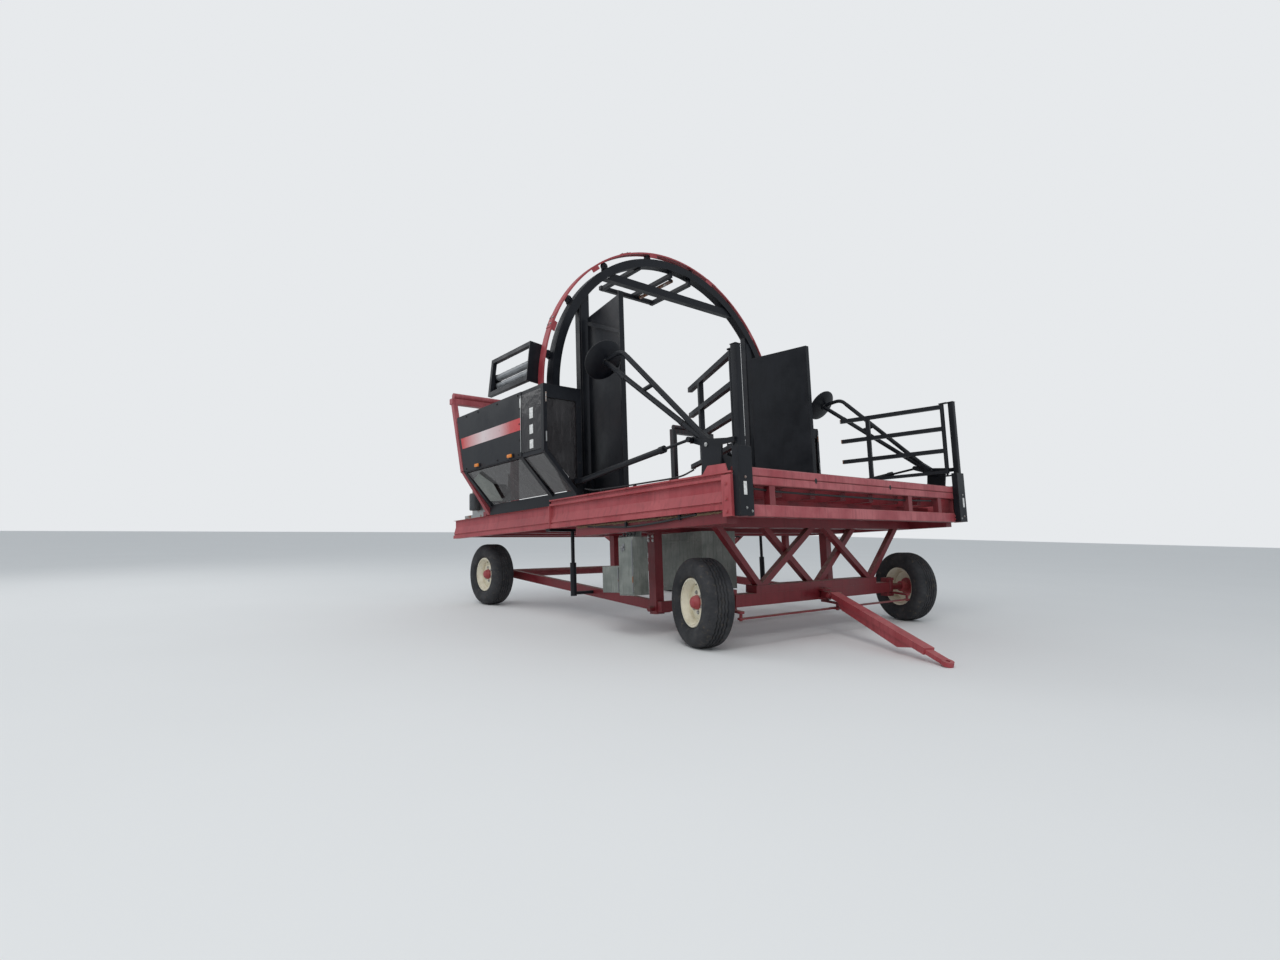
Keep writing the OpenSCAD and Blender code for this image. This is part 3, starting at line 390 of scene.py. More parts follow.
def window_material():
    """Smoked sheet with dried runs: nearly solid where it stands upright, a little clearer where it leans."""
    material, tree, shader, place = blank_material("smoked_sheet")
    marks = add(tree, "Group", {"Place": place, "Scale": 2.5}, node_tree=WEATHER).outputs
    base = mixed(tree, times(tree, marks["Runs"], 0.25), (0.010, 0.0075, 0.0085, 1), (0.10, 0.09, 0.09, 1))
    facing = add(tree, "SeparateXYZ", {0: add(tree, "NewGeometry").outputs["True Normal"]}).outputs["Z"]
    level = add(tree, "Math", {0: facing}, operation="ABSOLUTE").outputs[0]
    dense = spread(tree, level, 0.3, 0.6, 0.95, 0.76)
    dense = add(tree, "Math", {0: dense, 1: times(tree, marks["Runs"], 0.05)}, operation="ADD", use_clamp=True)
    wire(tree, shader, {"Base Color": base, "Alpha": dense.outputs[0],
                        "Roughness": spread(tree, marks["Blotch"], 0, 1, 0.06, 0.24),
                        "Normal": bump(tree, marks["Blotch"], 0.35, 0.012)})
    return material


def stripe_material():
    """Red at both ends and near white between them, along the stripe's own length."""
    material, tree, shader, place = blank_material("panel_stripe")
    along = add(tree, "VectorMath", {0: place, 1: tuple(-FORE)}, operation="DOT_PRODUCT").outputs["Value"]
    start = float(-FORE @ deck((-GUARD_MID, 0, 0)))
    share = spread(tree, along, start, start + 1.36)
    ramp = add(tree, "ValToRGB", {"Fac": share})
    stops = [(0.0, (0.55, 0.035, 0.04)), (0.16, (0.52, 0.08, 0.08)), (0.34, (0.62, 0.42, 0.43)),
             (0.62, (0.70, 0.60, 0.60)), (0.84, (0.62, 0.30, 0.30)), (1.0, (0.55, 0.05, 0.05))]
    ends = ramp.color_ramp.elements
    for _ in stops[2:]:
        ends.new(0.5)
    for stop, (at, colour) in zip(ends, stops):
        stop.position = at
        stop.color = (*colour, 1)
    scuffs = noise(tree, place, 26.0, 9.0, 0.75)
    worn = spread(tree, scuffs, 0.60, 0.68, 0.0, 0.75)
    wire(tree, shader, {"Base Color": mixed(tree, worn, ramp.outputs["Color"], (0.05, 0.05, 0.06, 1)),
                        "Roughness": spread(tree, scuffs, 0.3, 0.7, 0.35, 0.7)})
    return material


def floor_material():
    """Pale matt floor with a faint change of tint."""
    material, tree, shader, place = blank_material("pale_floor")
    tint = mixed(tree, noise(tree, place, 0.6, 2.0), (0.79, 0.79, 0.78, 1), (0.82, 0.82, 0.81, 1))
    wire(tree, shader, {"Base Color": tint, "Roughness": 0.9})
    return material


MAT = {
    RED: painted("oxidised_red", (0.33, 0.036, 0.046), (0.46, 0.105, 0.115), (0.20, 0.10, 0.07), chalky=0.8,
                 worn=0.7, dusty=0.30, rough=(0.42, 0.62), dust=(0.50, 0.26, 0.24, 1)),
    DEEP: painted("deep_red_paint", (0.155, 0.010, 0.016), (0.24, 0.035, 0.042), (0.12, 0.06, 0.04), chalky=0.6,
                  worn=0.7, dusty=0.6, rough=(0.35, 0.6)),
    BLACK: painted("worn_black", (0.0045, 0.0055, 0.0085), (0.014, 0.016, 0.021), (0.10, 0.075, 0.06), chalky=0.7,
                   worn=0.40, dusty=0.30, rough=(0.34, 0.55), dust=(0.12, 0.115, 0.105, 1), dents=0.1, sheen=0.28),
    CREAM: painted("cream_rim", (0.78, 0.74, 0.60), (0.64, 0.57, 0.40), (0.30, 0.15, 0.07), scale=9.0, chalky=0.5,
                   worn=0.8, dusty=0.5, rough=(0.35, 0.6), dust=(0.42, 0.35, 0.22, 1)),
    GREY: painted("weathered_zinc", (0.150, 0.165, 0.150), (0.27, 0.285, 0.26), (0.40, 0.40, 0.38), scale=6.0,
                  chalky=0.9, worn=0.9, dusty=0.4, rough=(0.42, 0.62), metallic=0.25),
    STEEL: rusty_steel("rusted_steel", 0.32, 0.35),
    RUBBER: tyre_material(),
    CLEAR: window_material(),
}
TOWER = painted("tower_paint", (0.30, 0.040, 0.052), (0.46, 0.125, 0.135), (0.20, 0.10, 0.07), chalky=0.8, worn=0.7,
                dusty=0.3, rough=(0.42, 0.62), dust=(0.50, 0.26, 0.24, 1), left=(0.010, 0.011, 0.015))
# Front frame paint with painted shade: its recessed uprights are darkened to a deep crimson, as if shade falls on
# them behind the tubes.
FRONT = painted("front_frame_paint_and_shade", (0.34, 0.050, 0.062), (0.52, 0.16, 0.17), (0.20, 0.10, 0.07), chalky=0.85,
                worn=0.7, dusty=0.3, rough=(0.42, 0.62), dust=(0.56, 0.30, 0.28, 1), recess_shade=(0.115, 0.008, 0.012))
ROLLER = painted("roller_grey", (0.20, 0.21, 0.22), (0.33, 0.34, 0.35), (0.12, 0.10, 0.08), scale=9.0, chalky=0.8,
                 worn=0.6, dusty=0.4, rough=(0.30, 0.5), metallic=0.4)
CHROME = rusty_steel("chromed_rod", 0.30, 0.30, (0.26, 0.26, 0.27))
RUST = rusty_steel("rusted_end", 0.5, 0.95)
HOSE = plain_plastic("hose_rubber", (0.016, 0.016, 0.018), 0.55, ribs=400.0)
AMBER = plain_plastic("amber_lens", (0.85, 0.26, 0.02), 0.25, clear=0.15, glow=0.12)
# Painted light: the white reflector tape glows faintly, a brightness that stands in for the light it reflects.
WHITE_TAPE = plain_plastic("white_reflector", (0.78, 0.78, 0.76), 0.35, glow=0.05, ribs=260.0)
STRIPE = stripe_material()
ENGINE = painted("engine_grey", (0.060, 0.065, 0.070), (0.12, 0.125, 0.12), (0.2, 0.12, 0.07), scale=8.0, worn=0.7,
                 dusty=0.8, rough=(0.4, 0.7))
STRAW = plain_plastic("dry_straw", (0.30, 0.215, 0.13), 0.9, ribs=300.0)


def dress_nodes():
    """Gives every carried-over node the finish of its slot, and five of them one of their own."""
    finish = {row["node"]: MAT[row["material_slot"]] for row in frame["record"]["subparts"]}
    finish.update(rear_tower=TOWER, front_frame=FRONT, lift_cylinders=MAT[BLACK], arm_piston_right=MAT[BLACK],
                  arm_piston_left=MAT[BLACK])
    for name, node in frame["nodes"].items():
        node.data.materials.clear()
        node.data.materials.append(finish[name])


# Wheels

def wheel_place(corner):
    """Centre of a wheel and its axis, pointing outwards."""
    joint = JOINTS["wheel_%s_spin" % corner]
    outwards = np.array(joint["axis"], float) * (1 if corner.endswith("left") else -1)
    return np.array(joint["pos_m"], float), outwards


def tyre_shape(around=216):
    """Ribbed implement tyre: an outline from bead to bead carried round the axle, with four zigzag grooves that
    sink by a smooth dip where the place across the tread is near a groove's line, and rings on the walls."""
    wall = np.array([[RIM_R - 0.006, -0.077], [RIM_R + 0.001, -0.083], [RIM_R + 0.012, -0.112],
                     [RIM_R + 0.030, -0.129], [0.275, -0.1375], [0.311, -0.1395], [0.338, -0.133],
                     [0.360, -0.119], [0.375, -0.101], [TYRE_R - 0.004, -0.086], [TYRE_R - 0.001, -0.066]])
    tread = np.stack([np.full(71, TYRE_R - 0.0003), np.linspace(-0.064, 0.064, 71)], 1)
    curved = smooth_path(np.c_[wall, np.zeros(len(wall))], 4)[:, :2]
    outline = np.vstack([curved, tread, curved[::-1] * [1, -1]])
    radius, across = outline[:, 0][None, :], outline[:, 1][None, :]
    a = circle(around)[:, None]
    zigzag = 0.0045 * (np.abs(((a * 36 / np.pi) % 2) - 1) * 2 - 1)
    depth = np.zeros((around, outline.shape[0]))
    for line in (-0.046, -0.0155, 0.0155, 0.046):
        near = np.clip(1 - (np.abs(across - line - zigzag) - 0.0035) / 0.0025, 0, 1)
        depth = np.maximum(depth, near * near * (3 - 2 * near))
    notches = (np.abs(((a * 54 / np.pi) % 2) - 1) > 0.72) & (np.abs(across) > 0.074) & (radius > 0.368)
    rings = 0.0015 * np.exp(-((radius - 0.292) / 0.0025) ** 2) + 0.0015 * np.exp(-((radius - 0.240) / 0.003) ** 2)
    r = radius - 0.0105 * depth - 0.004 * notches
    across = np.clip(across + np.sign(across) * rings * 0.6, -TYRE_W / 2, TYRE_W / 2) + 0 * a
    points = np.stack([r * np.cos(a), r * np.sin(a), across], -1)
    return points.reshape(-1, 3), grid_faces(around, outline.shape[0], True, True)


def hex_bolt(size=0.020):
    """Bolt head on its washer: a turned washer and a six-sided head with a broken upper edge."""
    washer = turned([(0.0, 0), (size * 0.78, 0), (size * 0.78, size * 0.10), (size * 0.1, size * 0.12)], 20)
    head = turned([(0.0, size * 0.1), (size * 0.56, size * 0.1), (size * 0.57, size * 0.42),
                   (size * 0.48, size * 0.52), (0.0, size * 0.52)], 6)
    return joined([washer, head])


def wheels():
    """Tyres with tread, lug bolts, valve stems and the beads on the rims' edges."""
    tyre, lug = tyre_shape(), hex_bolt(0.024)
    for corner in ("front_right", "front_left", "rear_right", "rear_left"):
        centre, out = wheel_place(corner)
        body = "wheel_" + corner
        rubber = piece("tread_" + corner, stand(tyre, centre, out, (0, 0, 1)), body, RUBBER, on_deck=False)
        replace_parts(rubber, "tyre_" + corner)
        turns = [k * np.pi / 3 + 0.2 for k in range(6)]
        lugs = [(lug[0] + [0.086 * np.cos(a), 0.086 * np.sin(a), 0.042], lug[1]) for a in turns]
        stem = smooth_path([(0.158, 0.0, 0.012), (0.163, 0, 0.03), (0.160, 0, 0.05), (0.150, 0, 0.062)])
        rim_ring = hooped([(RIM_R - 0.016, 0.0995), (RIM_R - 0.004, 0.0998), (RIM_R - 0.0025, 0.1035),
                           (RIM_R - 0.010, 0.1055), (RIM_R - 0.017, 0.103)][::-1], 72)
        piece("lugs_" + corner, stand(joined(lugs), centre, out, (0, 0, 1)), body, STEEL, on_deck=False)
        valve = stand(tube(stem, 0.0045, 8), centre, out, (0, 0, 1))
        piece("valve_" + corner, valve, body, RUBBER, HOSE, on_deck=False)
        piece("rim_bead_" + corner, stand(rim_ring, centre, out), body, CREAM, on_deck=False)


# Deck fittings

def bolt_rows():
    """Bolt heads in the finish of what they hold: bare on posts and legs, dark on guards, red on beams."""
    rows = {"bolts_bare": [], "bolts_dark": [], "bolts_red": []}

    def row(finish, places, up, size):
        """Adds a bolt head of one size at each place."""
        head = hex_bolt(size)
        rows[finish].extend(stand(head, at, up) for at in places)

    for s in (-1, 1):
        out = (0, s, 0)
        post = ((1.838, 1.385), (1.838, 1.145), (1.775, 1.12))
        row("bolts_bare", [(POST_FACE + 0.0003, s * y, z) for y, z in post], (1, 0, 0), 0.014)
        row("bolts_bare", [(-1.5 + dx, s * 1.4702, z) for dx in (-0.03, 0.03) for z in (0.96, 1.0)], out, 0.020)
        row("bolts_red", [(-0.052, s * (HALF_W + 0.009), z) for z in (1.12, 1.22, 1.34)], out, 0.022)
        row("bolts_red", [(-x, s * (HALF_W + 0.0002), 1.432) for x in (0.7, 1.3, 1.9)], out, 0.014)
        panel = [(x, s * (GUARD_Y + 0.0002), z) for x in (-2.60, -3.05, -3.50, -3.80) for z in (1.905, 2.53)]
        row("bolts_dark", panel, out, 0.016)
        row("bolts_dark", [(-GUARD_MID - 0.03, s * (GUARD_Y + 0.0002), z) for z in (2.05, 2.22, 2.39)], out, 0.016)
        face = [(-GUARD_FRONT - 0.0029, s * y, z) for y in (1.87, 2.28) for z in (1.56, 1.78, 2.0, 2.2, 2.36)
                if y < 2 or z > 1.9]
        row("bolts_dark", face, (1, 0, 0), 0.015)
    row("bolts_red", [(-0.0005, y, z) for y in (-1.75, 1.75) for z in (1.115, 1.150)], (1, 0, 0), 0.018)
    finishes = {"bolts_bare": STEEL, "bolts_dark": BLACK, "bolts_red": RED}
    for name, heads in rows.items():
        piece(name, joined(heads), "chassis", finishes[name])


def front_frame_holes():
    """Slots at the seam of the front tubes: shallow dished plugs with a burr round each, black as painted shade for
    the dark inside of each slot.
    """
    shapes = []
    for y in (-0.825, 0.415):
        dish = turned([(0.001, 0.0004), (0.012, 0.0006), (0.0135, 0.0022), (0.0155, 0.0022), (0.0165, 0.0)], 24)
        shapes.append(stand((dish[0] * [1.5, 1, 1], dish[1]), (0.0, y, 1.411), (1, 0, 0), (0, 0, 1)))
    # Painted shade: the black dishes stand in for the dark inside of the slots.
    piece("tube_hole_shades", joined(shapes), "chassis", BLACK, HOSE)


def reflectors_and_lamps():
    """White tape on the posts and guards, and amber lamps low on the side panels, each with its base."""
    tapes, bases, lenses = [], [], []
    lamp_z = 1.909
    for s in (-1, 1):
        tape_y = s * (GUARD_Y + 0.0018)
        tapes.append(soft_box((0.003, 0.036, 0.105), (POST_FACE + 0.0018, s * 1.846, 1.298), 0.001))
        for low, high in ((2.24, 2.35), (2.08, 2.175), (1.93, 2.02)):
            tapes.append(soft_box((0.066, 0.003, high - low), (-2.33, tape_y, (low + high) / 2), 0.001))
        tapes.append(soft_box((0.026, 0.003, 0.10), (-2.545, tape_y, 2.44), 0.001))
        for x in (-2.75, -3.50):
            bases.append(soft_box((0.096, 0.012, 0.046), (x, s * (GUARD_Y + 0.0062), lamp_z), 0.004))
            lenses.append(soft_box((0.086, 0.020, 0.036), (x, s * (GUARD_Y + 0.021), lamp_z), 0.009, 5))
    piece("tape_white", joined(tapes), "chassis", CREAM, WHITE_TAPE)
    piece("lamp_bases", joined(bases), "chassis", BLACK, HOSE)
    piece("lamp_lenses", joined(lenses), "chassis", CLEAR, AMBER)


def panel_stripes():
    """Stripe on each side panel: a thin band whose rear end follows the panel's slanted edge."""
    low, high = 2.155, 2.285
    lean = (GUARD_REAR_TOP - GUARD_REAR_LOW) / (GUARD_TOP - GUARD_KNEE)
    t = np.linspace(0, 1, 25)
    edges = []
    for z in (low, high):
        rear = -(GUARD_REAR_LOW + lean * (z - GUARD_KNEE)) + 0.02
        edges.append((-GUARD_MID - 0.004 + t * (rear + GUARD_MID + 0.004), z))
    faces = grid_faces(4, 25, wrap_rows=True) + [[0, 25, 50, 75], [99, 74, 49, 24]]
    shapes = []
    for s in (-1, 1):
        face = [[np.stack([x, np.full(25, s * (GUARD_Y + d)), np.full(25, z)], 1) for x, z in edges]
                for d in (0.0002, 0.0022)]
        shapes.append((np.vstack([face[0][0], face[0][1], face[1][1], face[1][0]]), faces))
    piece("stripes", joined(shapes), "chassis", RED, STRIPE)


def guard_trim():
    """Bright strip on the panel's front edge, hinge knuckles, and the grey shield on the chamfer."""
    strips, shields = [], []
    for s in (-1, 1):
        strips.append(soft_box((0.010, 0.004, 0.60), (-GUARD_MID - 0.006, s * (GUARD_Y + 0.002), 2.22), 0.002))
        pin = (-GUARD_FRONT + 0.006, s * 2.272)
        strips += [tube([(*pin, z - 0.05), (*pin, z + 0.05)], 0.008, 10) for z in (2.02, 2.42)]
    shape = plate([(-0.17, -0.20), (0.10, -0.22), (0.19, 0.02), (0.08, 0.20), (-0.13, 0.14)], 0.004)
    slope = unit([0, GUARD_Y - HALF_W, GUARD_KNEE - 1.5])
    for s in (-1, 1):
        up = np.array([0, s * slope[2], -slope[1]])
        at = np.array([-3.62, s * (HALF_W + 0.19), 1.69]) + up * 0.014
        shields.append(stand(shape, at, up, (1, 0, 0)))
    piece("guard_strips", joined(strips), "chassis", STEEL)
    piece("chamfer_shields", joined(shields), "chassis", GREY)


def gate_ends():
    """Rusty open ends of the gates' rails: a square collar for each rail, with a thin black square on its end face
    that is painted shade for the hollow inside.
    """
    for side, s in SIDES.items():
        joint = JOINTS["gate_%s_swing" % side]
        rest = math.radians(28 if side == "right" else 14)
        back = np.array([-math.cos(rest), -s * math.sin(rest), 0])
        shapes, end_shades = [], []
        for top in RAIL_TOPS:
            at = np.array([GATE_PIN_X, s * GATE_PIN_Y, top - 0.023]) + back * 1.184
            shapes.append(stand(soft_box((0.0465, 0.0465, 0.014), edge=0.003), at, back, (0, 0, 1)))
            # Painted shade: a thin black square on each collar's end face stands in for the dark inside of the open
            # rail.
            end_shades.append(stand(soft_box((0.036, 0.036, 0.004), edge=0.004), at + back * 0.0055, back, (0, 0, 1)))
        body = joint["child"]
        piece("rail_ends_" + side, joined(shapes), body, STEEL, RUST)
        piece("rail_end_shade_" + side, joined(end_shades), body, BLACK, HOSE)


def ring_assembly():
    """Ring as a rolled band with shoes inside its front edge, straps and bolts at its joints, and its rollers."""
    centre = np.array([-RING_X, 0, RING_Z])
    inner = RING_R - 0.0195
    band = hooped([(RING_R, -0.046), (RING_R, 0.046), (RING_R - 0.003, 0.048), (inner, 0.048), (inner, 0.036),
                   (inner + 0.008, 0.032), (inner + 0.008, -0.032), (inner, -0.036), (inner, -0.048),
                   (RING_R - 0.003, -0.048)], 240)
    shapes, bolts, rollers = [stand(band, centre, (1, 0, 0), (0, 0, 1))], [], []
    head = hex_bolt(0.018)
    for k in range(8):
        a = (k + 0.5) * np.pi / 4
        arc = a + np.linspace(-0.045, 0.045, 9)
        ring = np.c_[np.zeros(9), np.cos(arc), np.sin(arc)]
        outer, under = centre + ring * (RING_R + 0.006), centre + ring * (RING_R - 0.001)
        rows = [q + [dx, 0, 0] for q, dx in ((outer, -0.044), (outer, 0.044), (under, 0.044), (under, -0.044))]
        shapes.append((np.vstack(rows), grid_faces(4, 9, wrap_rows=True) + [[0, 9, 18, 27], [35, 26, 17, 8]]))
        for da in (-0.022, 0.022):
            out = np.array([0, math.cos(a + da), math.sin(a + da)])
            seat = centre + out * (RING_R + 0.0062)
            bolts += [stand(head, seat + [dx, 0, 0], out, (1, 0, 0)) for dx in (-0.028, 0.028)]
    shoe = soft_box((0.010, 0.120, 0.046), edge=0.004)
    for k in range(12):
        a = (k + 0.3) * np.pi / 6
        out = np.array([0, math.cos(a), math.sin(a)])
        shapes.append(stand(shoe, centre + out * (inner - 0.020) + [0.042, 0, 0], out, (1, 0, 0)))
    wheel = turned([(0.010, -0.030), (0.012, -0.022), (0.036, -0.022), (0.0425, -0.018), (0.0425, 0.018),
                    (0.036, 0.022), (0.012, 0.022), (0.010, 0.030)], 28)
    for k in range(16):
        a = (k + 0.5) * np.pi / 8
        out = np.array([0, math.cos(a), math.sin(a)])
        rollers.append(stand(wheel, centre + out * (inner - 0.0435), (1, 0, 0), out))
    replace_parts(piece("ring_band", joined(shapes), "wrapping_ring", RED), "ring")
    piece("ring_bolts", joined(bolts), "wrapping_ring", STEEL)
    piece("ring_rollers", joined(rollers), "chassis", BLACK)


def portal_frame():
    """Portal inside the hoop: posts and chord with slanted ends, roof tubes back to a cross tube, and a roller."""
    r, x0, x1 = 1.7975, -2.657, -2.577
    post_in, post_out = 1.36, 1.50
    chord_low, chord_high = 4.112 - RING_Z, 4.208 - RING_Z

    def end(v):
        """Half the hoop's opening at a distance v from its middle."""
        return math.sqrt(r * r - v * v)

    shapes = []
    for s in (-1, 1):
        outline = [(s * post_in, -end(post_in)), (s * post_out, -end(post_out)), (s * post_out, end(post_out)),
                   (s * post_in, end(post_in))]
        shapes.append(stand(plate(outline, x1 - x0), (x0, 0, RING_Z), (1, 0, 0), (0, 1, 0)))
        shapes.append(bar((x1 + 0.001, s * 1.43, 1.56), (x1 + 0.001, s * 1.43, 3.78), 0.012, 0.098, 0.004, (1, 0, 0)))
    outline = [(-end(chord_low), chord_low), (end(chord_low), chord_low), (end(chord_high), chord_high),
               (-end(chord_high), chord_high)]
    shapes.append(stand(plate(outline, x1 - x0), (x0, 0, RING_Z), (1, 0, 0), (0, 1, 0)))
    for y, z in ((-0.56, 4.402), (-0.02, 4.438), (0.31, 4.400)):
        shapes.append(bar((-3.372, y, z - 0.02), (-2.585, y, z), 0.056, 0.056, 0.006))
        shapes.append(bar((-2.612, y, z), (-2.612, y, RING_Z + end(y) + 0.004), 0.050, 0.040, 0.004, (0, 1, 0)))
    shapes.append(bar((-3.352, -0.60, 4.390), (-3.352, 0.35, 4.392), 0.056, 0.060, 0.006))
    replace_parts(piece("portal_frame", joined(shapes), "chassis", BLACK), "portal")
    half = [(0.008, 0.34), (0.008, 0.325), (0.024, 0.322)]
    roller = turned([(radius, -x) for radius, x in half] + half[::-1], 24)
    carriers = [bar((x, 0.008, 4.42), (x, 0.062, 4.402), 0.012, 0.044, 0.003, (1, 0, 0)) for x in (-3.302, -2.658)]
    piece("roof_roller", stand(roller, (-2.98, 0.058, 4.400), (1, 0, 0.02)), "chassis", STEEL, RUST)
    piece("roof_carriers", joined(carriers), "chassis", BLACK)


def corner_posts():
    """Corner posts: a square tube behind a wider folded plate, the gate's pin and hinge plates, the arm's bracket."""
    shapes = []
    low, high = 1.640, RAIL_TOPS[0]
    tube_x = 0.0305
    profile = [(-0.360, 1.4405), (-0.336, 1.700), (-0.320, 1.734), (-0.260, 1.734), (-0.060, 1.710), (0.005, 1.710),
               (0.005, 1.666), (-0.120, 1.666), (-0.150, 1.4405)]
    for s in (-1, 1):
        tube_y = s * (POST_OUT - POST_SIDE / 2)
        ends = (tube_x, tube_y, POST_LOW), (tube_x, tube_y, POST_HIGH)
        shapes.append(bar(*ends, 0.060, POST_SIDE, 0.007, (1, 0, 0)))
        shapes.append(soft_box((0.066, POST_SIDE + 0.006, 0.006), (tube_x, tube_y, POST_HIGH + 0.002), 0.002))
        shapes.append(soft_box((0.006, 0.160, 0.550), (POST_FACE - 0.003, s * 1.830, POST_LOW + 0.275), 0.002))
        for y in (1.752, 1.908):
            shapes.append(soft_box((0.062, 0.006, 0.550), (0.0320, s * y, POST_LOW + 0.275), 0.002))
        pin = (GATE_PIN_X, s * GATE_PIN_Y)
        shapes.append(tube([(*pin, low - 0.034), (*pin, high + 0.020)], 0.012, 16))
        for z in (low - 0.027, high + 0.013):
            shapes.append(soft_box((0.092, 0.048, 0.014), (-0.040, s * GATE_PIN_Y, z), 0.003))
        shapes.append(stand(plate(profile, 0.016), (0, s * 1.881 + 0.008, 0), (0, -1, 0), (1, 0, 0)))
        shapes.append(soft_box((0.014, 0.030, 0.044), (0.0075, s * 1.874, 1.688), 0.002))
        shapes.append(tube([(ARM_PIN_X, s * y, ARM_PIN_Z) for y in (1.808, 1.874)], 0.020, 24))
    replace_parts(piece("corner_post_set", joined(shapes), "chassis", BLACK), "corner_posts")


def film_fittings():
    """Sleeves, end collars and gear case of the two stretch rollers of each film unit, turned with it on the ring."""
    tilt = math.radians(7)
    centre = np.array([-RING_X, 0, RING_Z])
    sleeves, collars = [], []
    for turn in (0.0, math.pi):
        a = -tilt + turn
        spin = np.array([[1, 0, 0], [0, math.cos(a), math.sin(a)], [0, -math.sin(a), math.cos(a)]])

        def put(shape):
            """Shape turned about the ring's axis to its unit's place."""
            return shape[0] @ spin + centre, shape[1]

        for y, z in ((-2.040, 0.036), (-2.030, -0.064)):
            x = np.linspace(-0.86, -0.10, 40)
            profile = np.c_[0.0412 + 0.0008 * np.cos(x * 60), x]
            sleeve = turned(np.vstack([[0.030, x[0] - 0.002], profile, [0.030, x[-1] + 0.002]]), 28)
            sleeves.append(put(stand(sleeve, (0, y, z), (1, 0, 0), (0, 0, 1))))
            for x_at in (-0.885, -0.085):
                ring = turned([(0.020, -0.010), (0.045, -0.010), (0.047, 0), (0.045, 0.010), (0.020, 0.010)], 24)
                collars.append(put(stand(ring, (x_at, y, z), (1, 0, 0), (0, 0, 1))))
        collars.append(put(soft_box((0.022, 0.10, 0.19), (-0.925, -2.035, -0.012), 0.008)))
    piece("roller_sleeves", joined(sleeves), "wrapping_ring", STEEL, ROLLER)
    piece("roller_collars", joined(collars), "wrapping_ring", BLACK)


def lines():
    """Hydraulic lines and their clips: under each side beam, along its top, and across the front frame."""
    shapes, clips = [], []
    for s in (-1, 1):
        rail = [(-0.42, s * 1.900, 1.128), (-0.62, s * 1.902, 1.112), (-0.85, s * 1.905, 1.094),
                (-1.10, s * 1.905, 1.082), (-1.34, s * 1.900, 1.080), (-1.60, s * 1.892, 1.096),
                (-1.95, s * 1.893, 1.120)]
        shapes.append(tube(smooth_path(rail), 0.010, 10))
        pipe = [(-1.98, s * 1.898, 1.50), (-1.80, s * 1.905, 1.47), (-1.5, s * 1.90, 1.462), (-1.0, s * 1.90, 1.458),
                (-0.62, s * 1.90, 1.46), (-0.45, s * 1.885, 1.50)]
        shapes.append(tube(smooth_path(pipe), 0.008, 8))
        clips += [soft_box((0.024, 0.026, 0.018), (x, s * 1.902, 1.451), 0.003) for x in (-0.7, -1.2, -1.7)]
        low = ((-0.62, 1.118), (-1.34, 1.10))
        clips += [soft_box((0.022, 0.024, 0.050), (x, s * 1.905, z), 0.003) for x, z in low]
    run = [(-0.040, -1.70, 1.315), (-0.045, -1.2, 1.300), (-0.045, -0.3, 1.297), (-0.045, 0.6, 1.297),
           (-0.04, 1.30, 1.31)]
    shapes.append(tube(smooth_path(run), 0.009, 8))
    piece("hydraulic_lines", joined(shapes), "chassis", BLACK, HOSE)
    piece("line_clips", joined(clips), "chassis", BLACK)


def box_fittings():
    """Doors, latch, hinge pins and knobs of the tool boxes, and the tank's filler cap and seams."""
    grey, steel, cap = [], [], []
    outer = -1.910
    latch_x, latch_z, grip_y = -1.372, 0.895, outer - 0.030
    for x, z, w, h in ((-1.3505, 0.72, 0.195, 0.505), (-1.5835, 0.60, 0.238, 0.232)):
        grey.append(soft_box((w, 0.006, h), (x, outer - 0.0035, z), 0.0025))
        pin = (x + w / 2 - 0.004, outer - 0.004)
        steel.append(tube([(*pin, z - h / 2 + 0.02), (*pin, z + h / 2 - 0.02)], 0.005, 10))
    steel.append(soft_box((0.030, 0.004, 0.060), (latch_x, outer - 0.009, latch_z), 0.0015))
    steel.append(tube([(latch_x, outer - 0.008, latch_z), (latch_x, grip_y, latch_z)], 0.006, 10))
    steel.append(tube([(-1.402, grip_y, latch_z), (-1.342, grip_y, latch_z)], 0.006, 10))
    steel.append(tube([(latch_x, grip_y, latch_z), (latch_x, outer - 0.028, 0.85)], 0.005, 10))
    knob = turned([(0.004, 0), (0.005, 0.018), (0.013, 0.022), (0.015, 0.032), (0.010, 0.040), (0.0, 0.042)], 16)
    cap += [stand(knob, (x, -1.86, 0.985)) for x in (-1.43, -1.38, -1.33, -1.28)]
    filler = turned([(0.0, 0), (0.050, 0.0), (0.050, 0.012), (0.042, 0.016), (0.042, 0.040), (0.036, 0.046),
                     (0, 0.048)], 28)
    cap.append(stand(filler, (-1.25, -0.639, 0.90), (0, 1, 0)))
    for z in (0.50, 0.95):
        grey.append(soft_box((0.62, 0.006, 0.022), (-1.47, -1.1215, z), 0.003))
    piece("box_doors", joined(grey), "chassis", GREY)
    piece("box_hardware", joined(steel), "chassis", STEEL, CHROME)
    piece("caps_and_knobs", joined(cap), "chassis", BLACK, HOSE)


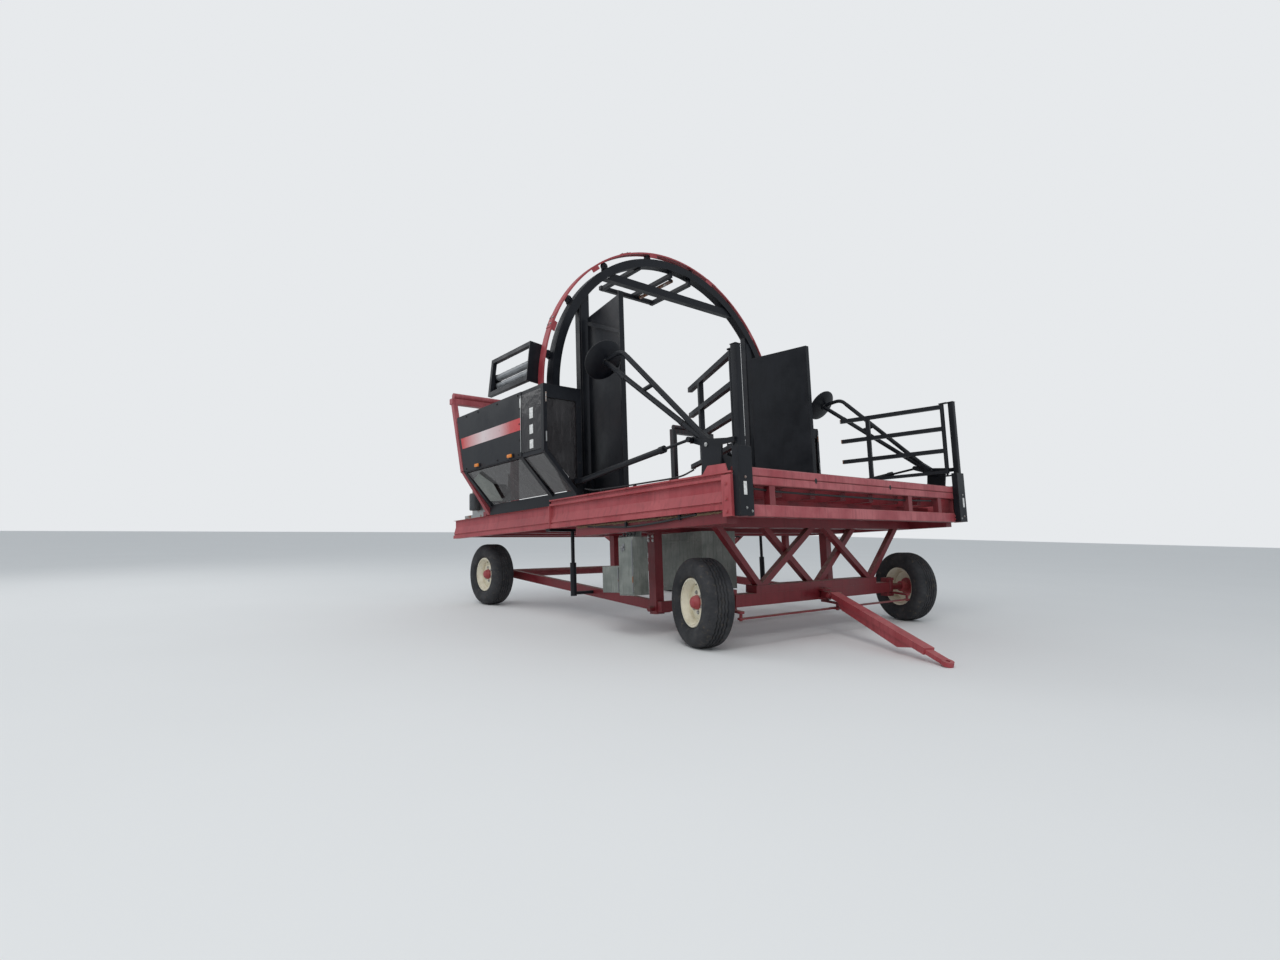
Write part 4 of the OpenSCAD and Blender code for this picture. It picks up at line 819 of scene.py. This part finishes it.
def engine_fittings():
    """Cooling fins, cover, fan housing, filter, exhaust and hoses round the power unit's block."""
    x0, x1, y0, y1, z0, z1 = -4.780, -4.360, -1.740, -1.400, REAR_TOP + 0.060, REAR_TOP + 0.420
    x_mid, y_mid = (x0 + x1) / 2, (y0 + y1) / 2
    shapes = [soft_box((0.012, y1 - y0 + 0.02, 0.17), (x, y_mid, z1 - 0.095), 0.004)
              for x in np.arange(x0 + 0.05, x1 - 0.03, 0.028)]
    shapes.append(soft_box((0.36, 0.28, 0.05), (x_mid, y_mid, z1 + 0.012), 0.02, 5))
    fan = turned([(0.0, 0), (0.105, 0.0), (0.115, 0.02), (0.115, 0.05), (0.10, 0.07), (0.03, 0.075),
                  (0.0, 0.075)], 36)
    shapes.append(stand(fan, (x0 - 0.001, y_mid, z0 + 0.16), (-1, 0, 0)))
    can = turned([(0.0, 0), (0.06, 0.0), (0.065, 0.01), (0.065, 0.20), (0.058, 0.22), (0.0, 0.225)], 32)
    shapes.append(stand(can, (x_mid - 0.06, y0 - 0.045, z1 - 0.30), (0, 0, 1)))
    bends = ((0.02, -0.08), (0.07, -0.04), (0.09, 0.04), (0.09, 0.16))
    exhaust = smooth_path([(x1 + dx, y1 - 0.06, z1 + dz) for dx, dz in bends])
    bends = ((0, 0, 0.08), (0.10, 0, 0.10), (0.16, -0.03, 0.02), (0.24, -0.05, -0.030))
    hoses = [tube(smooth_path([(x1 + dx, y + dy, z0 + dz) for dx, dy, dz in bends]), 0.013, 10)
             for y in (-1.68, -1.62, -1.56)]
    piece("engine_covers", joined(shapes), "chassis", STEEL, ENGINE)
    piece("engine_exhaust", tube(exhaust, 0.024, 16), "chassis", STEEL, RUST)
    piece("engine_hoses", joined(hoses), "chassis", BLACK, HOSE)


def disc_arms():
    """Disc arms: a rod to the disc's hub, one above it that bends down to the hub, a tie, the disc and the lever."""
    rise, turn, reach = math.radians(37.3), math.radians(-17), 0.200
    back, lift = np.array([-math.cos(rise), 0, math.sin(rise)]), np.array([math.sin(rise), 0, math.cos(rise)])
    lever = back * math.cos(turn) + lift * math.sin(turn)
    dish = turned([(0.0, -0.022), (0.056, -0.018), (0.130, -0.006), (0.186, 0.014), (0.208, 0.031), (0.206, 0.037),
                   (0.184, 0.023), (0.128, 0.004), (0.054, -0.006), (0.0, -0.010)], 96)
    lip = hooped([(0.2045, 0.028), (0.2095, 0.0295), (0.2100, 0.033), (0.2080, 0.0375), (0.2045, 0.0365)], 96)
    hub = joined([turned([(0.0, -0.034), (0.040, -0.034), (0.044, -0.028), (0.044, 0.012), (0.0, 0.012)], 32),
                  turned([(0.0, 0.012), (0.024, 0.012), (0.022, 0.030), (0.0, 0.030)], 6)])
    sleeve = turned([(0.0235, -0.022), (0.0275, -0.020), (0.0275, 0.020), (0.0235, 0.022)], 28)
    cap = turned([(0.0, 0), (0.017, 0), (0.018, 0.006), (0.012, 0.010), (0.0, 0.010)], 20)
    for side, s in SIDES.items():
        pivot = np.array([ARM_PIN_X, s * ARM_PIN_Y, ARM_PIN_Z])

        def at(along, above, out=0.0):
            """Place along and above the arm's lower rod, and outwards from it."""
            return pivot + back * along + lift * above + np.array([0, s * out, 0])

        bent = [at(along, above, 0.003) for along, above in
                ((1.44, 0.179), (1.51, 0.184), (1.58, 0.160), (1.66, 0.090), (1.72, 0.030))]
        shapes = [tube([at(0.0, 0, -0.028), at(0.0, 0, 0.028)], 0.038, 32),
                  tube([at(0.030, 0, 0.003), at(1.742, 0, 0.003)], 0.0255, 24),
                  tube([at(0.050, 0.020, 0.003), bent[0]], 0.0255, 24), tube(smooth_path(bent), 0.0235, 16),
                  bar(at(0.0, 0.030), at(0.13, 0.030), 0.040, 0.070, 0.006, lift),
                  tube([at(1.05, 0.0, 0.003), at(0.94, 0.120, 0.003)], 0.021, 16)]
        shapes += [stand(sleeve, at(along, 0, 0.005), back) for along in (0.40, 1.36)]
        tip = pivot + lever * reach
        for out in ([0, s * 0.021, 0], [0, s * 0.009, 0]):
            shapes.append(bar(pivot + out, tip + out, 0.052, 0.012, 0.003, np.cross(lever, (0, 1, 0))))
        shapes.append(tube([tip + [0, s * 0.009, 0], tip + [0, s * 0.027, 0]], 0.026, 24))
        body = "disc_arm_" + side
        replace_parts(piece("arm_rods_" + side, joined(shapes), body, BLACK), body)
        disc = at(1.748, 0)
        piece("disc_" + side, stand(dish, disc, back, (0, 1, 0)), body, BLACK)
        piece("disc_lip_" + side, stand(lip, disc, back, (0, 1, 0)), body, BLACK, HOSE)
        piece("disc_hub_" + side, stand(hub, disc, back, (0, 1, 0)), body, BLACK)
        piece("pivot_cap_" + side, stand(cap, (ARM_PIN_X, s * 1.8892, ARM_PIN_Z), (0, s, 0)), "chassis", STEEL)


def straw_litter(count=900):
    """Dry straw caught on the rail under each side beam: thin blades strewn along it, joined as one mesh."""
    shapes = []
    x = rng.uniform(-2.15, -0.15, count)
    s = np.where(rng.random(count) < 0.62, -1, 1)
    y = s * rng.uniform(1.887, 1.900, count)
    z = BEAM_LOW - 0.004 - np.abs(rng.normal(0, 0.006, count))
    ahead = rng.normal(0, 0.55, count)
    length = rng.uniform(0.03, 0.11, count)
    for k in range(count):
        d = np.array([math.cos(ahead[k]), 0.12 * math.sin(3 * ahead[k]), 0.35 * math.sin(ahead[k])]) * length[k] / 2
        at = np.array([x[k], y[k], z[k] - 0.006])
        shapes.append(tube([at - d, at + d], 0.0014, 4))
    piece("straw", joined(shapes), "chassis", CREAM, STRAW, smooth=False)


def placed(turn, at):
    """Matrix from three axes, as columns, and a place."""
    return Matrix([[*turn[k], at[k]] for k in range(3)] + [[0, 0, 0, 1]])


def floor_and_light():
    """Pale floor, a pale world behind it, and two broad soft lamps on the machine's right."""
    side = 60.0
    mesh = bpy.data.meshes.new("floor")
    mesh.from_pydata([(-side, -side, 0), (side, -side, 0), (side, side, 0), (-side, side, 0)], [], [[0, 1, 2, 3]])
    mesh.materials.append(floor_material())
    linked("floor", mesh)
    world = bpy.data.worlds.new("studio")
    bpy.context.scene.world = world
    world.use_nodes = True
    tree = world.node_tree
    sky = tree.nodes["Background"]
    path = add(tree, "LightPath")
    seen = add(tree, "Math", {0: path.outputs["Is Camera Ray"], 1: path.outputs["Is Transmission Ray"]},
               operation="MAXIMUM")
    shown = add(tree, "Background", {"Color": (0.80, 0.82, 0.84, 1), "Strength": 1.0})
    wire(tree, sky, {"Color": (0.88, 0.94, 1.0, 1), "Strength": 0.62})
    blend = add(tree, "MixShader", {0: seen.outputs[0], 1: sky.outputs[0], 2: shown.outputs[0]})
    wire(tree, tree.nodes["World Output"], {"Surface": blend.outputs[0]})
    for name, at, size, power in (("key", (7.0, -9.0, 11.0), 7.0, 620.0), ("fill", (-8.0, -7.0, 7.0), 6.0, 160.0)):
        lamp = bpy.data.lights.new(name, "AREA")
        lamp.size = size
        lamp.energy = power
        z = unit(np.array(at) - [0, 0, 1.5])
        x = unit(np.cross([0, 0, 1], z))
        linked(name, lamp).matrix_world = placed(np.column_stack([x, np.cross(z, x), z]), at)


def camera():
    """The photograph's view: a place and three angles, worked out from the deck's and wheels' lines in it."""
    at = (5.4635, -5.836, 1.0524)
    yaw, pitch, roll = (math.radians(a) for a in (139.944, 3.762, 0.773))
    focal_px, image_w, sensor = 676.5, 1280, 36.0
    ahead = np.array([math.cos(pitch) * math.cos(yaw), math.cos(pitch) * math.sin(yaw), math.sin(pitch)])
    level = unit(np.cross(ahead, [0, 0, 1]))
    upright = np.cross(level, ahead)
    right = level * math.cos(roll) + upright * math.sin(roll)
    turn = np.column_stack([right, np.cross(right, ahead), -ahead])
    lens = bpy.data.cameras.new("photo_view")
    lens.sensor_width = sensor
    lens.lens = sensor * focal_px / image_w
    view = linked("photo_view", lens)
    view.matrix_world = placed(turn, at)
    bpy.context.scene.camera = view


camera()
floor_and_light()
dress_nodes()
wheels()
bolt_rows()
front_frame_holes()
reflectors_and_lamps()
panel_stripes()
guard_trim()
gate_ends()
ring_assembly()
portal_frame()
corner_posts()
film_fittings()
lines()
box_fittings()
engine_fittings()
disc_arms()
straw_litter()
bpy.context.scene.view_settings.view_transform = "Standard"
